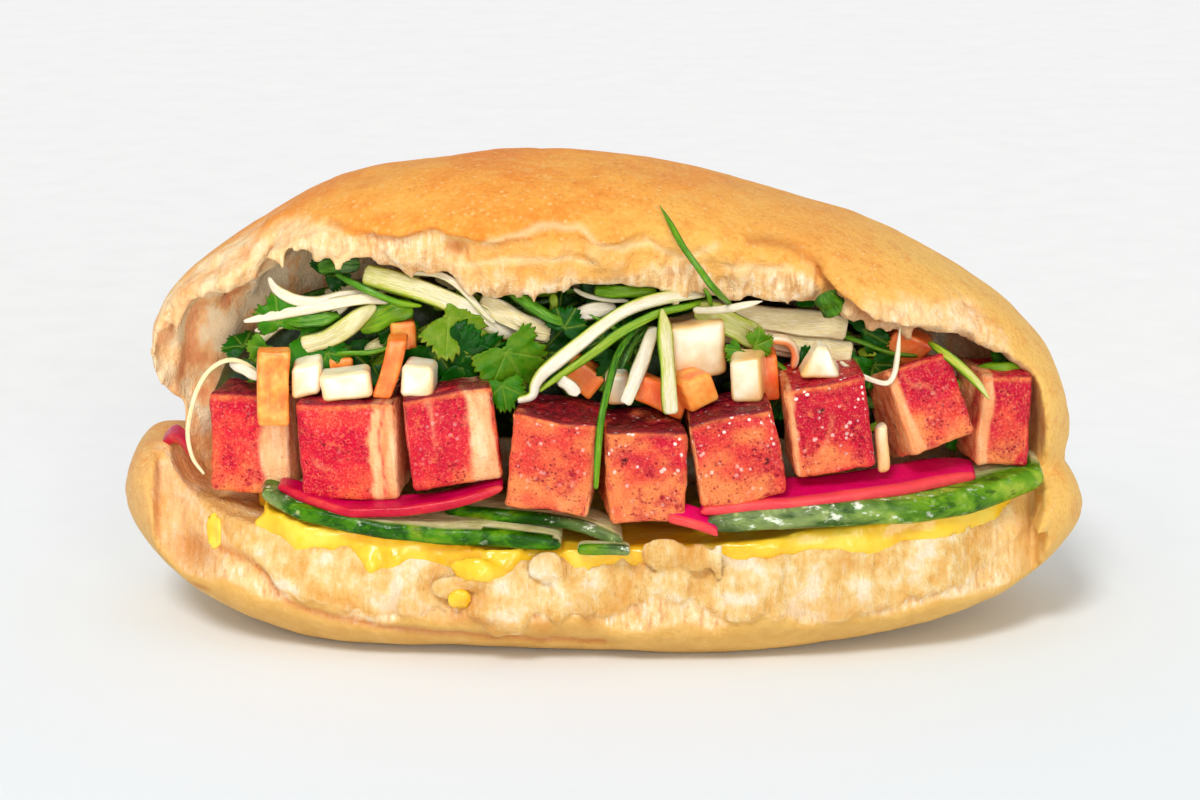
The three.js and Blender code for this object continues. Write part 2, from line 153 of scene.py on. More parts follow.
# ------------------------------------------------------------------ node material helpers
class Mat:
    def __init__(self, name):
        self.m = bpy.data.materials.new(name)
        self.m.use_nodes = True
        self.nt = self.m.node_tree
        self.nt.nodes.clear()
        self.out = self.add("ShaderNodeOutputMaterial")
        self.bsdf = self.add("ShaderNodeBsdfPrincipled")
        self.link(self.bsdf.outputs[0], self.out.inputs["Surface"])

    def add(self, kind, **props):
        n = self.nt.nodes.new(kind)
        for k, v in props.items():
            setattr(n, k, v)
        return n

    def link(self, a, b):
        self.nt.links.new(a, b)

    def attr(self, name, vector=False):
        n = self.add("ShaderNodeAttribute")
        n.attribute_name = name
        return n.outputs["Vector" if vector else "Fac"]

    def coord(self):
        return self.add("ShaderNodeTexCoord").outputs["Object"]

    def scaled(self, vec, s):
        n = self.add("ShaderNodeMapping")
        n.inputs["Scale"].default_value = s if isinstance(s, tuple) else (s, s, s)
        self.link(vec, n.inputs["Vector"])
        return n.outputs[0]

    def noise(self, vec, scale, detail=3.0, rough=0.55, distortion=0.0):
        n = self.add("ShaderNodeTexNoise")
        n.inputs["Scale"].default_value = scale
        n.inputs["Detail"].default_value = detail
        n.inputs["Roughness"].default_value = rough
        n.inputs["Distortion"].default_value = distortion
        self.link(vec, n.inputs["Vector"])
        return n.outputs["Fac"]

    def voronoi(self, vec, scale, feature="F1", smooth=None, out="Distance", randomness=1.0):
        n = self.add("ShaderNodeTexVoronoi", feature=feature)
        n.inputs["Scale"].default_value = scale
        n.inputs["Randomness"].default_value = randomness
        self.link(vec, n.inputs["Vector"])
        return n.outputs[out]

    def ramp(self, fac, stops, interp="LINEAR"):
        n = self.add("ShaderNodeValToRGB")
        n.color_ramp.interpolation = interp
        els = n.color_ramp.elements
        while len(els) > 1:
            els.remove(els[-1])
        els[0].position = stops[0][0]
        els[0].color = stops[0][1]
        for p, c in stops[1:]:
            e = els.new(p)
            e.color = c
        self.link(fac, n.inputs[0])
        return n.outputs[0]

    def fac(self, v, lo, hi, a=0.0, b=1.0, smooth=True):
        n = self.add("ShaderNodeMapRange")
        n.interpolation_type = "SMOOTHSTEP" if smooth else "LINEAR"
        n.inputs["From Min"].default_value = lo
        n.inputs["From Max"].default_value = hi
        n.inputs["To Min"].default_value = a
        n.inputs["To Max"].default_value = b
        self.link(v, n.inputs["Value"])
        return n.outputs[0]

    def math(self, op, a, b=None, clamp=False):
        n = self.add("ShaderNodeMath", operation=op)
        n.use_clamp = clamp
        for i, v in enumerate((a, b)):
            if v is None:
                continue
            if isinstance(v, (int, float)):
                n.inputs[i].default_value = v
            else:
                self.link(v, n.inputs[i])
        return n.outputs[0]

    def mix(self, fac, a, b, mode="MIX"):
        n = self.add("ShaderNodeMix", data_type="RGBA", blend_type=mode)
        for sock, v in ((n.inputs["Factor"], fac), (n.inputs["A"], a), (n.inputs["B"], b)):
            pass
        ins = [s for s in n.inputs if s.enabled]
        table = {"Factor": fac, "A": a, "B": b}
        for s in n.inputs:
            if not s.enabled or s.name not in table:
                continue
            v = table[s.name]
            if isinstance(v, (int, float)):
                s.default_value = v
            elif isinstance(v, tuple):
                s.default_value = v
            else:
                self.link(v, s)
        return [o for o in n.outputs if o.enabled][0]

    def set(self, key, v):
        s = self.bsdf.inputs[key]
        if isinstance(v, (int, float, tuple)):
            s.default_value = v
        else:
            self.link(v, s)

    def bump(self, height, strength=0.3, distance=0.001, normal=None):
        n = self.add("ShaderNodeBump")
        n.inputs["Strength"].default_value = strength
        n.inputs["Distance"].default_value = distance
        self.link(height, n.inputs["Height"])
        if normal is not None:
            self.link(normal, n.inputs["Normal"])
        return n.outputs[0]


def give(ob, mat):
    ob.data.materials.clear()
    ob.data.materials.append(mat.m if isinstance(mat, Mat) else mat)


# ------------------------------------------------------------------ camera, light, floor
ELEV = math.radians(15.0)
DIST = 0.650
TARGET = Vector((-0.00084, 0.0, 0.0452))
cam_data = bpy.data.cameras.new("camera")
cam = bpy.data.objects.new("camera", cam_data)
bpy.context.scene.collection.objects.link(cam)
cam_data.sensor_width = 36.0
cam_data.lens = 92.4
cam_data.clip_start = 0.01
cam_data.clip_end = 20.0
cam.location = TARGET + Vector((0.0, -math.cos(ELEV) * DIST, math.sin(ELEV) * DIST))
cam.rotation_euler = (math.radians(90) - ELEV, 0.0, 0.0)
bpy.context.scene.camera = cam

scene = bpy.context.scene
scene.view_settings.view_transform = "Standard"
scene.view_settings.look = "None"
scene.view_settings.exposure = 0.0

world = bpy.data.worlds.new("studio")
scene.world = world
world.use_nodes = True
world.node_tree.nodes["Background"].inputs[0].default_value = (1.0, 0.995, 0.985, 1.0)
world.node_tree.nodes["Background"].inputs[1].default_value = 0.55


def area(name, loc, size, power, color=(1, 1, 1), target=(0, 0, 0.045)):
    data = bpy.data.lights.new(name, "AREA")
    data.shape = "RECTANGLE"
    data.size, data.size_y = size
    data.energy = power
    data.color = color
    ob = bpy.data.objects.new(name, data)
    ob.location = loc
    d = Vector(target) - Vector(loc)
    ob.rotation_euler = d.to_track_quat("-Z", "Y").to_euler()
    scene.collection.objects.link(ob)
    return ob


def sun(name, frm, strength, angle, color=(1, 1, 1)):
    data = bpy.data.lights.new(name, "SUN")
    data.energy = strength
    data.angle = math.radians(angle)
    data.color = color
    ob = bpy.data.objects.new(name, data)
    ob.rotation_euler = (-Vector(frm)).to_track_quat("-Z", "Y").to_euler()
    scene.collection.objects.link(ob)
    return ob


sun("key", (-0.28, -0.80, 1.0), 1.40, 16, (1.0, 0.99, 0.97))
sun("front_fill", (0.34, -1.0, 0.22), 1.05, 30, (1.0, 0.995, 0.98))
area("glint", (-0.18, -0.42, 0.42), (0.10, 0.08), 0.16, (1.0, 1.0, 1.0))

cup = area("left_cup", (-0.045, -0.24, 0.070), (0.07, 0.07), 0.0065, (1.0, 0.78, 0.60), target=(-0.078, 0.0, 0.056))
cup.data.spread = math.radians(34)

me = bpy.data.meshes.new("floor")
me.from_pydata([(-3, -3, 0), (3, -3, 0), (3, 3, 0), (-3, 3, 0)], [], [(0, 1, 2, 3)])
floor = bpy.data.objects.new("floor", me)
scene.collection.objects.link(floor)
mf = Mat("floor_paper")
n = mf.noise(mf.coord(), 60.0, 4.0)
# a little cool in front of the bread, against the warm light that it throws on the paper
reach = mf.add("ShaderNodeVectorMath", operation="DISTANCE")
reach.inputs[1].default_value = (0.0, -0.10, 0.0)
mf.link(mf.coord(), reach.inputs[0])
near = mf.fac(reach.outputs["Value"], 0.36, 0.06, 0.0, 1.0)
mf.set("Base Color", mf.mix(near, mf.ramp(n, [(0.3, srgb(246, 247, 248)), (0.7, srgb(250, 251, 252))]), srgb(241, 248, 252)))
mf.set("Roughness", 1.0)
mf.set("Specular IOR Level", 0.0)
mf.set("Normal", mf.bump(n, 0.05, 0.0005))
give(floor, mf)
# ------------------------------------------------------------------ the roll
TOP = dict(l=-95.3, r=98.0, half=39.5, plan=2.5, section=2.35, lean=2.4,
           crown=[57, 69.2, 80.3, 91.7, 96.6, 96.3, 90.4, 81.8, 70.2, 56.6, 40],
           waist=[57, 57.5, 58.5, 59.5, 60, 60, 59, 56, 51, 45, 40],
           below=[0, 10, 17, 22, 26, 27, 27, 26, 21, 14, 0])
BASE = dict(l=-101.1, r=101.1, half=42.3, forward=0.5, plan=2.5, section=2.6,
            rim=[27, 38, 36.5, 34, 33, 33, 33, 34, 35, 33, 24],
            foot=[27, 16.5, 6, -1.7, -2.1, -3.1, -3.1, 0.6, 6.8, 17, 24])
HINGE = dict(l=-88.5, r=97.2, middle=9, half=31, low=14, high=66, nose=(45, 32))
CUT = dict(l=-93.6, r=90.8, back_tip=-14, back=17,
           floor=[56, 34.5, 27.5, 22.5, 20.8, 20.4, 21.4, 24, 26.5, 30, 42],
           roof=[56, 66, 74, 79, 76.5, 74.5, 73.5, 67.5, 61.5, 54, 42])
# The torn lip of the upper lobe (x, height) and the edge of its crust above the tear (x, height).
LIP = np.array([(-94, 57), (-89, 64), (-80, 70), (-67.6, 76.5), (-61, 79.5), (-50.6, 79.8), (-39, 77.8), (-32, 77.7), (-27.2, 73.6),
                (-23, 72.8), (-9.7, 74.1), (-2, 75.6), (10.6, 75.1), (19.5, 73.6), (25.3, 71.7), (31, 72.2), (36, 71.9), (40, 71.5),
                (46, 70.2), (50.4, 66.2), (57.8, 63.3), (66.4, 63.1), (71.6, 62.3), (81.7, 57.5), (88.4, 50.6), (91, 42)])
CRUST_EDGE = np.array([(-94, 60), (-87.3, 72.6), (-83, 75.3), (-68, 84), (-55.3, 87.6), (-50.6, 87), (-41, 85.5), (-34.6, 87.4),
                       (-22, 84.8), (-14, 86.5), (-6.8, 87.3), (-0.6, 84.5), (4, 85.6), (10.6, 88.4), (17.6, 88.1),
                       (28.9, 85.6), (36.2, 84.4), (42.3, 81.3), (43.5, 78.6), (47, 75.1), (51.6, 71.3), (55.8, 69.1),
                       (70.5, 65.1), (81.4, 59.3), (86.5, 54.1), (91, 44)])


def hull_top(x, y, z):
    s = (x - (TOP["l"] + TOP["r"]) / 2) / ((TOP["r"] - TOP["l"]) / 2)
    t = share(s)
    mid = along(TOP["waist"], t)
    a = np.maximum(plan(s, TOP["plan"]) * TOP["half"], 0.5)
    up = np.maximum(along(TOP["crown"], t) - mid, 0.5)
    dn = np.maximum(along(TOP["below"], t), 0.5)
    dy = y - TOP["lean"] * plan(s, 2)
    dz = z - mid
    b = np.where(dz > 0, up, dn)
    r = ((np.abs(dy) / a) ** TOP["section"] + (np.abs(dz) / b) ** TOP["section"]) ** (1 / TOP["section"])
    d = (r - 1) * np.hypot(dy, dz) / np.maximum(r, 1e-3)
    d = np.where(r < 0.3, -0.7 * np.minimum(a, b), d)
    return np.maximum(d, (np.abs(s) - 1) * 96)


def hull_base(x, y, z):
    s = (x - (BASE["l"] + BASE["r"]) / 2) / ((BASE["r"] - BASE["l"]) / 2)
    t = share(s)
    rim, foot = along(BASE["rim"], t), along(BASE["foot"], t)
    mid = (rim + foot) / 2
    b = np.maximum((rim - foot) / 2, 0.5)
    a = np.maximum(plan(s, BASE["plan"]) * BASE["half"], 0.5)
    dy = y + BASE["forward"] * plan(s, BASE["plan"])
    dz = z - mid
    r = ((np.abs(dy) / a) ** BASE["section"] + (np.abs(dz) / b) ** BASE["section"]) ** (1 / BASE["section"])
    d = (r - 1) * np.hypot(dy, dz) / np.maximum(r, 1e-3)
    d = np.where(r < 0.3, -0.7 * np.minimum(a, b), d)
    return np.maximum(d, (np.abs(s) - 1) * 101)


def hull_hinge(x, y, z):
    s = (x - (HINGE["l"] + HINGE["r"]) / 2) / ((HINGE["r"] - HINGE["l"]) / 2)
    k = np.maximum(plan(s, 3), 1e-3)
    nose = (HINGE["nose"][0] + HINGE["nose"][1]) / 2 + s * (HINGE["nose"][1] - HINGE["nose"][0]) / 2
    dy = y - HINGE["middle"] * plan(s, 2)
    dz = z - nose
    b = np.where(dz > 0, HINGE["high"] - nose, nose - HINGE["low"]) * k
    a = k * HINGE["half"]
    n = 2 / 0.85
    r = ((np.abs(dy) / a) ** n + (np.abs(dz) / b) ** n) ** (1 / n)
    d = (r - 1) * np.hypot(dy, dz) / np.maximum(r, 1e-3)
    d = np.where(r < 0.3, -0.7 * np.minimum(a, b), d)
    return np.maximum(d, (np.abs(s) - 1) * 92)


VOX = 0.85
gx = np.arange(-105, 105.01, VOX)
gy = np.arange(-46, 46.01, VOX)
gz = np.arange(-4, 101.01, VOX)
NX, NY, NZ = len(gx), len(gy), len(gz)
X1 = gx[:, None, None]
Y1 = gy[None, :, None]
Z1 = gz[None, None, :]

sc = (X1 - (CUT["l"] + CUT["r"]) / 2) / ((CUT["r"] - CUT["l"]) / 2)
tc = share(sc)
kc = plan(sc, 3)
edge_c = plan(sc, 2.5)
floor_c = along(CUT["floor"], tc)
lip_z = np.interp(X1, LIP[:, 0], LIP[:, 1])
crust_z = np.interp(X1, CRUST_EDGE[:, 0], CRUST_EDGE[:, 1])
back_c = CUT["back_tip"] + (CUT["back"] - CUT["back_tip"]) * plan(sc, 2)
lip_y = np.minimum(-24 * edge_c + 1.0 * np.sin(X1 / 8), back_c - 2)
rim_y = np.minimum(-37.0 * edge_c + 0.8 * np.sin(X1 / 7 + 1) + 0.7 * np.sin(X1 / 2.9), back_c - 2)


# where the crust edge meets the front of the upper lobe
def front_of_top(xs, zs):
    s = (xs - (TOP["l"] + TOP["r"]) / 2) / ((TOP["r"] - TOP["l"]) / 2)
    t = share(s)
    mid = along(TOP["waist"], t)
    up = np.maximum(along(TOP["crown"], t) - mid, 0.5)
    q = np.clip(np.abs(zs - mid) / up, 0, 1)
    return TOP["lean"] * plan(s, 2) - plan(s, TOP["plan"]) * TOP["half"] * (1 - q ** TOP["section"]) ** (1 / TOP["section"])


crust_y = front_of_top(X1, np.minimum(crust_z, np.interp(X1, gx, [along(TOP["crown"], share((v - 1.35) / 96.65)) for v in gx]) - 1.0))
tear = np.clip((crust_z - lip_z) / np.maximum(lip_y - crust_y, 2.0), 0.5, 4.0)

d_top = hull_top(X1, Y1, Z1)
d_base = hull_base(X1, Y1, Z1)
d_hinge = hull_hinge(X1, Y1, Z1)
d_hull = smin(smin(d_top, d_hinge, 2.0), d_base, 1.2)

roof = lip_z + np.maximum(0, lip_y - Y1) * tear
# the inside of the upper lobe is hollowed a little behind its lip
behind = np.clip((Y1 - lip_y) / 14.0, 0, 1)
roof = roof + 2.6 * kc * np.sin(np.pi * behind) * (Y1 > lip_y)
front_drop = np.maximum(0, rim_y - Y1)
floor_s = floor_c - np.minimum(front_drop * 2.6, 2.0 + front_drop * 5.0)
d_floor = floor_s - Z1
d_roof = Z1 - roof
d_back = Y1 - back_c
d_cut = smax(smax(d_floor, d_back, 7.0), smax(d_roof, d_back, 9.0), 0.5)
d_cut = np.maximum(d_cut, (np.abs(sc) - 1) * 92)
# true distance is smaller across the steep tears
d_cut = d_cut / np.where((Y1 < lip_y) & (Z1 > 45), np.sqrt(1 + tear ** 2), 1.0)
d_cut = d_cut / np.where((Y1 < rim_y) & (Z1 < 45), np.sqrt(1 + 2.6 ** 2), 1.0)

d0 = np.maximum(d_hull, -d_cut)
band = np.abs(d0) < 5.0
ix, iy, iz = np.nonzero(band)
P = np.stack([gx[ix], gy[iy], gz[iz]], 1).astype(np.float32)
dh = d_hull[band].astype(np.float32)
dc = d_cut[band].astype(np.float32)
is_front_low = smooth01(-P[:, 1], 26, 36) * smooth01(24 - P[:, 2], -3, 3)
is_top_tear = smooth01(P[:, 2], 55, 62) * smooth01(-P[:, 1], 4, 12)

# crust: gentle swells, with a crease at the foot and a few dents
swell = 0.60 * fbm(P, 26.0, 2, 1) + 0.34 * noise(P, 9.0, 5) + 0.16 * noise(P, 3.6, 6)
dh = dh + swell
# torn crumb: lumps, pulled strands and pits
lumps = 1.15 * noise(P, 8.5, 10) + 0.75 * noise(P, 4.2, 11) + 0.40 * noise(P, 2.2, 12)
strands = 0.9 * noise(P, (2.6, 6.0, 9.0), 14) + 0.7 * noise(P, (1.7, 4.0, 5.0), 15)
pits = np.maximum(0, noise(P, 3.6, 16) - 0.35) * 3.0
CRUMB_LOW = np.array([(-95, 40), (-85, 30), (-78.1, 23.4), (-72.4, 18.8), (-61.6, 12.9), (-53.3, 11.4), (-45.1, 10.2), (-35.0, 11.2), (-29.0, 12.1), (-24.5, 10.8), (-22.0, 6.3),
                      (-16.9, 6.1), (-14.5, 10.8), (-8.9, 10.1), (-2.8, 12.3), (3.2, 10.6), (9.2, 13.5), (17.2, 13.9), (23.3, 11.6), (33.3, 10.1),
                      (43.4, 9.3), (53.5, 10.5), (66.0, 12.9), (79.0, 17.7), (90.5, 24), (98, 35)])
crumb_low = np.interp(P[:, 0], CRUMB_LOW[:, 0], CRUMB_LOW[:, 1])
ragged = crumb_low + 1.6 * noise(P, (3.0, 20.0, 20.0), 17) + 0.9 * noise(P, (1.5, 20.0, 20.0), 18)
fibres = (0.65 * noise(P, (1.9, 5.0, 6.0), 26) + 0.42 * noise(P, (1.2, 4.0, 3.6), 27)) * (1 + 0.5 * smooth01(-P[:, 0], 20, 32) + 0.5 * smooth01(P[:, 0], 44, 50))
cup_l = smooth01(-P[:, 0], 58, 72) * smooth01(P[:, 2], 40, 50)
rough = lumps * (0.55 + 0.25 * is_top_tear) - pits * (0.35 + 0.35 * is_top_tear) + fibres * is_top_tear
rough = rough + cup_l * (3.0 * noise(P, (6.0, 6.0, 9.0), 28) + 1.6 * noise(P, (3.2, 3.2, 5.0), 25))
rough = rough * (1 - 0.9 * smooth01(P[:, 0], 76, 83) * smooth01(58 - P[:, 2], 0, 6))
calm = 1 - 0.85 * smooth01(np.abs(P[:, 0]), 76, 86)
rough = rough * (1 - is_front_low) + (strands * 0.9 + lumps * 0.6 - pits * 0.35) * is_front_low * calm
under = np.interp(P[:, 0], CRUST_EDGE[:, 0], CRUST_EDGE[:, 1]) - P[:, 2]
under = (1.0 + 0.9 * smooth01(P[:, 0], 24, 30)) * smooth01(under, -0.2, 0.5) * smooth01(under, 5.0, 1.0) * (P[:, 2] > 50) * (P[:, 1] < 0)
dc = dc + rough - 1.1 * under
d1 = smax(dh, -dc, 0.9)
# the torn crumb of the lower lobe hangs a little over the crust band under it
over = smooth01(P[:, 2] - ragged, -0.4, 1.0) * smooth01(-P[:, 1], 8, 20) * smooth01(30 - P[:, 2], 0, 8) * (P[:, 2] < 40)
d1 = d1 - 1.0 * over + 0.5 * (1 - over) * is_front_low * smooth01(P[:, 2], 3, 6)
CREASE = np.array([(-80, 23), (-78.6, 21.2), (-71.4, 18.8), (-64.7, 12.2), (-55.3, 9.3), (-41.2, 7.1), (-27.1, 5.8), (-13, 5.1), (0, 4.6)])
RIPS = [  # pale shallow cracks in the upper crust: x, z
    np.array([(-24, 84.5), (-17, 86.5), (-10, 88.2), (-5, 87.6), (-1, 84.8), (4, 83.6), (9, 84.6)]),
    np.array([(8, 85), (12, 82.5), (15, 80.8), (19, 82.5), (22, 84)]),
    np.array([(-30, 79), (-24, 80.5), (-17, 81.0), (-9, 81.5), (-2, 80.4)]),
    np.array([(24, 80), (31, 79.4), (38, 78.6)]),
]
FLAP = CRUST_EDGE[(CRUST_EDGE[:, 0] > 25) & (CRUST_EDGE[:, 0] < 57)]
CRACK = CRUST_EDGE[(CRUST_EDGE[:, 0] > -66) & (CRUST_EDGE[:, 0] < -33)]
BAND_X = [-96, -85, -72, -62, -52, -45, 40, 47, 58, 75, 88, 93]
BAND_W = [13, 12, 10, 8.5, 7.5, 0, -3, 5.5, 9.5, 9.0, 2.5, -6]


def torn_band(p):
    """Soft torn crumb beyond the lip at both ends of the upper lobe, 0..1."""
    lipz = np.interp(p[:, 0], LIP[:, 0], LIP[:, 1])
    w = np.interp(p[:, 0], BAND_X, BAND_W)
    return smooth01(lipz + w + 2.2 * noise(p, 6.0, 46) + 1.2 * noise(p, 2.6, 47) - p[:, 2], -1.5, 2.5) * smooth01(-p[:, 1] + 2.0 * noise(p, 5.0, 55), -3, 6) * smooth01(p[:, 2], 38, 46)


def near_line(px, pz, line):
    best = np.full(px.shape, 99.0, np.float32)
    for (x0, z0), (x1, z1) in zip(line[:-1], line[1:]):
        dx, dz = x1 - x0, z1 - z0
        t = np.clip(((px - x0) * dx + (pz - z0) * dz) / (dx * dx + dz * dz), 0, 1)
        best = np.minimum(best, np.hypot(px - x0 - t * dx, pz - z0 - t * dz))
    return best


def groove(px, pz, line, w, seed):
    q = np.stack([px, px * 0, pz], -1)
    return np.exp(-((near_line(px + 0.7 * noise(q, 3.5, seed), pz + 0.7 * noise(q, 3.1, seed + 1), line)) / w) ** 2)


front_mask = (P[:, 1] < -6)
crease_g = groove(P[:, 0], P[:, 2], CREASE, 1.0, 40) * front_mask * (P[:, 2] < 30)
d1 = d1 + 1.0 * crease_g
for k, line in enumerate(RIPS):
    d1 = d1 + 0.55 * groove(P[:, 0], P[:, 2], line, 0.8, 42 + k) * front_mask * (P[:, 2] > 50)
tb = torn_band(P) * smooth01(-dh, 6.0, 2.0)
d1 = d1 + tb * (0.5 + 0.9 * noise(P, 4.6, 48) + 0.7 * noise(P, 2.2, 49) + 0.35 * noise(P, (1.3, 3.0, 4.0), 53))
# a hollow in the left end of the lower lobe, a hole with sauce, a small hole in the upper lip
for (hx, hy, hz, r1, r2, dep) in [(-84.5, -26, 19.5, 5.5, 3.6, 1.6), (-29.1, -41, 14.6, 2.3, 2.4, 1.8), (-29.6, -33, 83.2, 2.2, 2.0, 2.0), (-79.9, -24.5, 24.6, 1.6, 3.6, 1.0)]:
    e_ = ((P[:, 0] - hx) / r1) ** 2 + ((P[:, 2] - hz) / r2) ** 2
    d1 = d1 + dep * np.exp(-e_ ** 1.5) * (P[:, 1] < -8)
# flaps of crumb that stand up out of the rim
for (fx, fy, fz, rx, ry, rz) in [(-11.3, -39.8, 21.0, 3.6, 1.4, 3.6), (12.0, -39.0, 23.5, 4.6, 1.3, 3.6), (19.0, -39.5, 23.0, 3.2, 1.2, 3.2),
                                 (22.6, -40.0, 22.5, 0.9, 0.9, 4.6), (-25.9, -40.6, 19.0, 3.4, 1.3, 2.8), (-31.5, -40.4, 17.0, 3.4, 1.1, 2.6)]:
    rr = np.sqrt(((P[:, 0] - fx + 0.8 * noise(P, 3.0, 19)) / rx) ** 2 + ((P[:, 1] - fy) / ry) ** 2 + ((P[:, 2] - fz) / rz) ** 2)
    d1 = smin(d1, (rr - 1) * min(rx, ry, rz) * 1.2, 0.8)

field = np.full((NX, NY, NZ), 5.0, np.float32)
field[d0 < 0] = -5.0
field[band] = d1
field = np.maximum(field, -(Z1 - 0.0)).astype(np.float32)


def surface(field, background=5.0, adaptivity=0.0):
    g = vdb.FloatGrid(background)
    g.copyFromArray(np.ascontiguousarray(field))
    pts, tris, quads = g.convertToPolygons(isovalue=0.0, adaptivity=adaptivity)
    pts = np.asarray(pts, float) * VOX + np.array([gx[0], gy[0], gz[0]])
    faces = [tuple(int(v) for v in f[::-1]) for f in quads] + [tuple(int(v) for v in f[::-1]) for f in tris]
    return pts, faces


def sample(field, pts):
    q = (pts - np.array([gx[0], gy[0], gz[0]])) / VOX
    q = np.clip(q, 0, np.array(field.shape) - 1.001)
    i = q.astype(int)
    f = q - i
    out = 0
    for dx in (0, 1):
        for dy in (0, 1):
            for dz in (0, 1):
                w = (f[:, 0] if dx else 1 - f[:, 0]) * (f[:, 1] if dy else 1 - f[:, 1]) * (f[:, 2] if dz else 1 - f[:, 2])
                out = out + w * field[i[:, 0] + dx, i[:, 1] + dy, i[:, 2] + dz]
    return out


def main_body(pts, faces, least=None):
    """Keep the largest connected body, or every one of at least so many points."""
    tri = np.array([(f[0], f[1], f[2], f[-1]) for f in faces])
    lab = np.arange(len(pts))
    while True:
        mn = lab[tri].min(1)
        new = lab.copy()
        for c_ in range(4):
            np.minimum.at(new, tri[:, c_], mn)
        new = new[new]
        if (new == lab).all():
            break
        lab = new
    ids, cnt = np.unique(lab, return_counts=True)
    keep = lab == ids[np.argmax(cnt)] if least is None else np.isin(lab, ids[cnt >= least])
    idx = np.cumsum(keep) - 1
    faces = [tuple(int(idx[v]) for v in f) for f, t_ in zip(faces, keep[tri[:, 0]]) if t_]
    return pts[keep], faces


pts, faces = main_body(*surface(field))
# crumb where the surface lies under the hull, and on the torn front of the lower lobe
hull_at = sample(d_hull.astype(np.float32), pts) + 0.60 * fbm(pts, 26.0, 2, 1) + 0.34 * noise(pts, 9.0, 5) + 0.16 * noise(pts, 3.6, 6)
crumb = smooth01(-hull_at, 0.9, 1.7)
low_at = np.interp(pts[:, 0], CRUMB_LOW[:, 0], CRUMB_LOW[:, 1]) + 1.6 * noise(pts, (3.0, 20.0, 20.0), 17) + 0.9 * noise(pts, (1.5, 20.0, 20.0), 18)
front_crumb = smooth01(pts[:, 2] - low_at, -0.2, 0.9) * smooth01(-pts[:, 1], 6, 14) * (pts[:, 2] < 40)
front_crumb = front_crumb * smooth01(-pts[:, 0], -86, -76)
crumb = np.maximum(crumb * (1 - 0.75 * smooth01(pts[:, 0], 80, 87) * smooth01(60 - pts[:, 2], 0, 6)), front_crumb)
top_edge = np.interp(pts[:, 0], CRUST_EDGE[:, 0], CRUST_EDGE[:, 1])
lip_at = np.interp(pts[:, 0], LIP[:, 0], LIP[:, 1])
tear_v = np.clip((pts[:, 2] - lip_at) / np.maximum(top_edge - lip_at, 2), 0, 1) * (pts[:, 2] > 50)
golden = smooth01(tear_v + 0.30 * noise(pts, 6.0, 29) + 0.12 * noise(pts, 2.0, 30), 0.22, 0.55) * smooth01(pts[:, 0], -36, -24) * smooth01(-pts[:, 0], -50, -43) * (pts[:, 1] < 0)
band_m = torn_band(pts)
crumb = np.maximum(crumb, band_m)
# inner: the hollow of the left end, where the crumb gets a painted warm glow
inner = smooth01(pts[:, 1], -30, 0) * crumb * smooth01(-pts[:, 0], -84, -70)
# crease: painted shade along the foot crease, under the crust flap, along the crack at the left lip, in the hollow at
# the left end and in the hole in the upper lip; the spots low on the front near the sauce hole are amber glaze
crease = groove(pts[:, 0], pts[:, 2], CREASE, 0.8, 40) * (pts[:, 1] < -6) * (pts[:, 2] < 30)
crease = np.maximum(crease, 0.8 * groove(pts[:, 0], pts[:, 2] + 0.8, FLAP, 0.9, 80) * (pts[:, 1] < -6) * (pts[:, 2] > 50))
crease = np.maximum(crease, 0.7 * groove(pts[:, 0], pts[:, 2] + 0.5, CRACK, 0.7, 81) * (pts[:, 1] < -6) * (pts[:, 2] > 50))
crack = np.zeros(len(pts))
for k, line in enumerate(RIPS):
    crack = np.maximum(crack, 0.8 * groove(pts[:, 0], pts[:, 2], line, 0.65, 42 + k) * (pts[:, 1] < -6) * (pts[:, 2] > 50))
crack = np.maximum(crack, 0.8 * smooth01(noise(pts, (9.0, 9.0, 4.0), 82), 0.35, 0.7) * golden * smooth01(crumb, 0.3, 0.8))
for (hx, hz, r1, r2, am) in [(-84.5, 19.5, 5.0, 3.2, 0.75), (-29.6, 83.2, 1.8, 1.6, 1.0), (-83, 12.5, 2.5, 0.8, 0.8), (-27.5, 10.3, 6.5, 1.4, 0.5), (-12.5, 8.8, 2.4, 1.8, 0.5), (-3.0, 10.0, 2.0, 2.0, 0.45), (56, 11.5, 1.6, 0.9, 0.5)]:
    crease = np.maximum(crease, am * np.exp(-(((pts[:, 0] - hx) / r1) ** 2 + ((pts[:, 2] - hz) / r2) ** 2) ** 1.5) * (pts[:, 1] < -6))
front = front_crumb
bread = mesh_object("bread_crust_and_crumb", pts, faces, attrs={"crumb": crumb, "inner": inner, "golden": golden, "crease": crease, "front": front, "crack": crack, "band": band_m})
thin = bread.modifiers.new("thin", "DECIMATE")
thin.ratio = min(1.0, 0.985 * 196000 / sum(len(f_) - 2 for f_ in faces))
dg = bpy.context.evaluated_depsgraph_get()
thinned = bpy.data.meshes.new_from_object(bread.evaluated_get(dg), preserve_all_data_layers=True, depsgraph=dg)
bread.modifiers.remove(thin)
old_mesh = bread.data
bread.data = thinned
bpy.data.meshes.remove(old_mesh)
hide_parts("bread_roll")
print("thinned", sum(len(p_.vertices) - 2 for p_ in bread.data.polygons), [a_.name for a_ in bread.data.attributes])
print("bread", len(pts), len(faces))
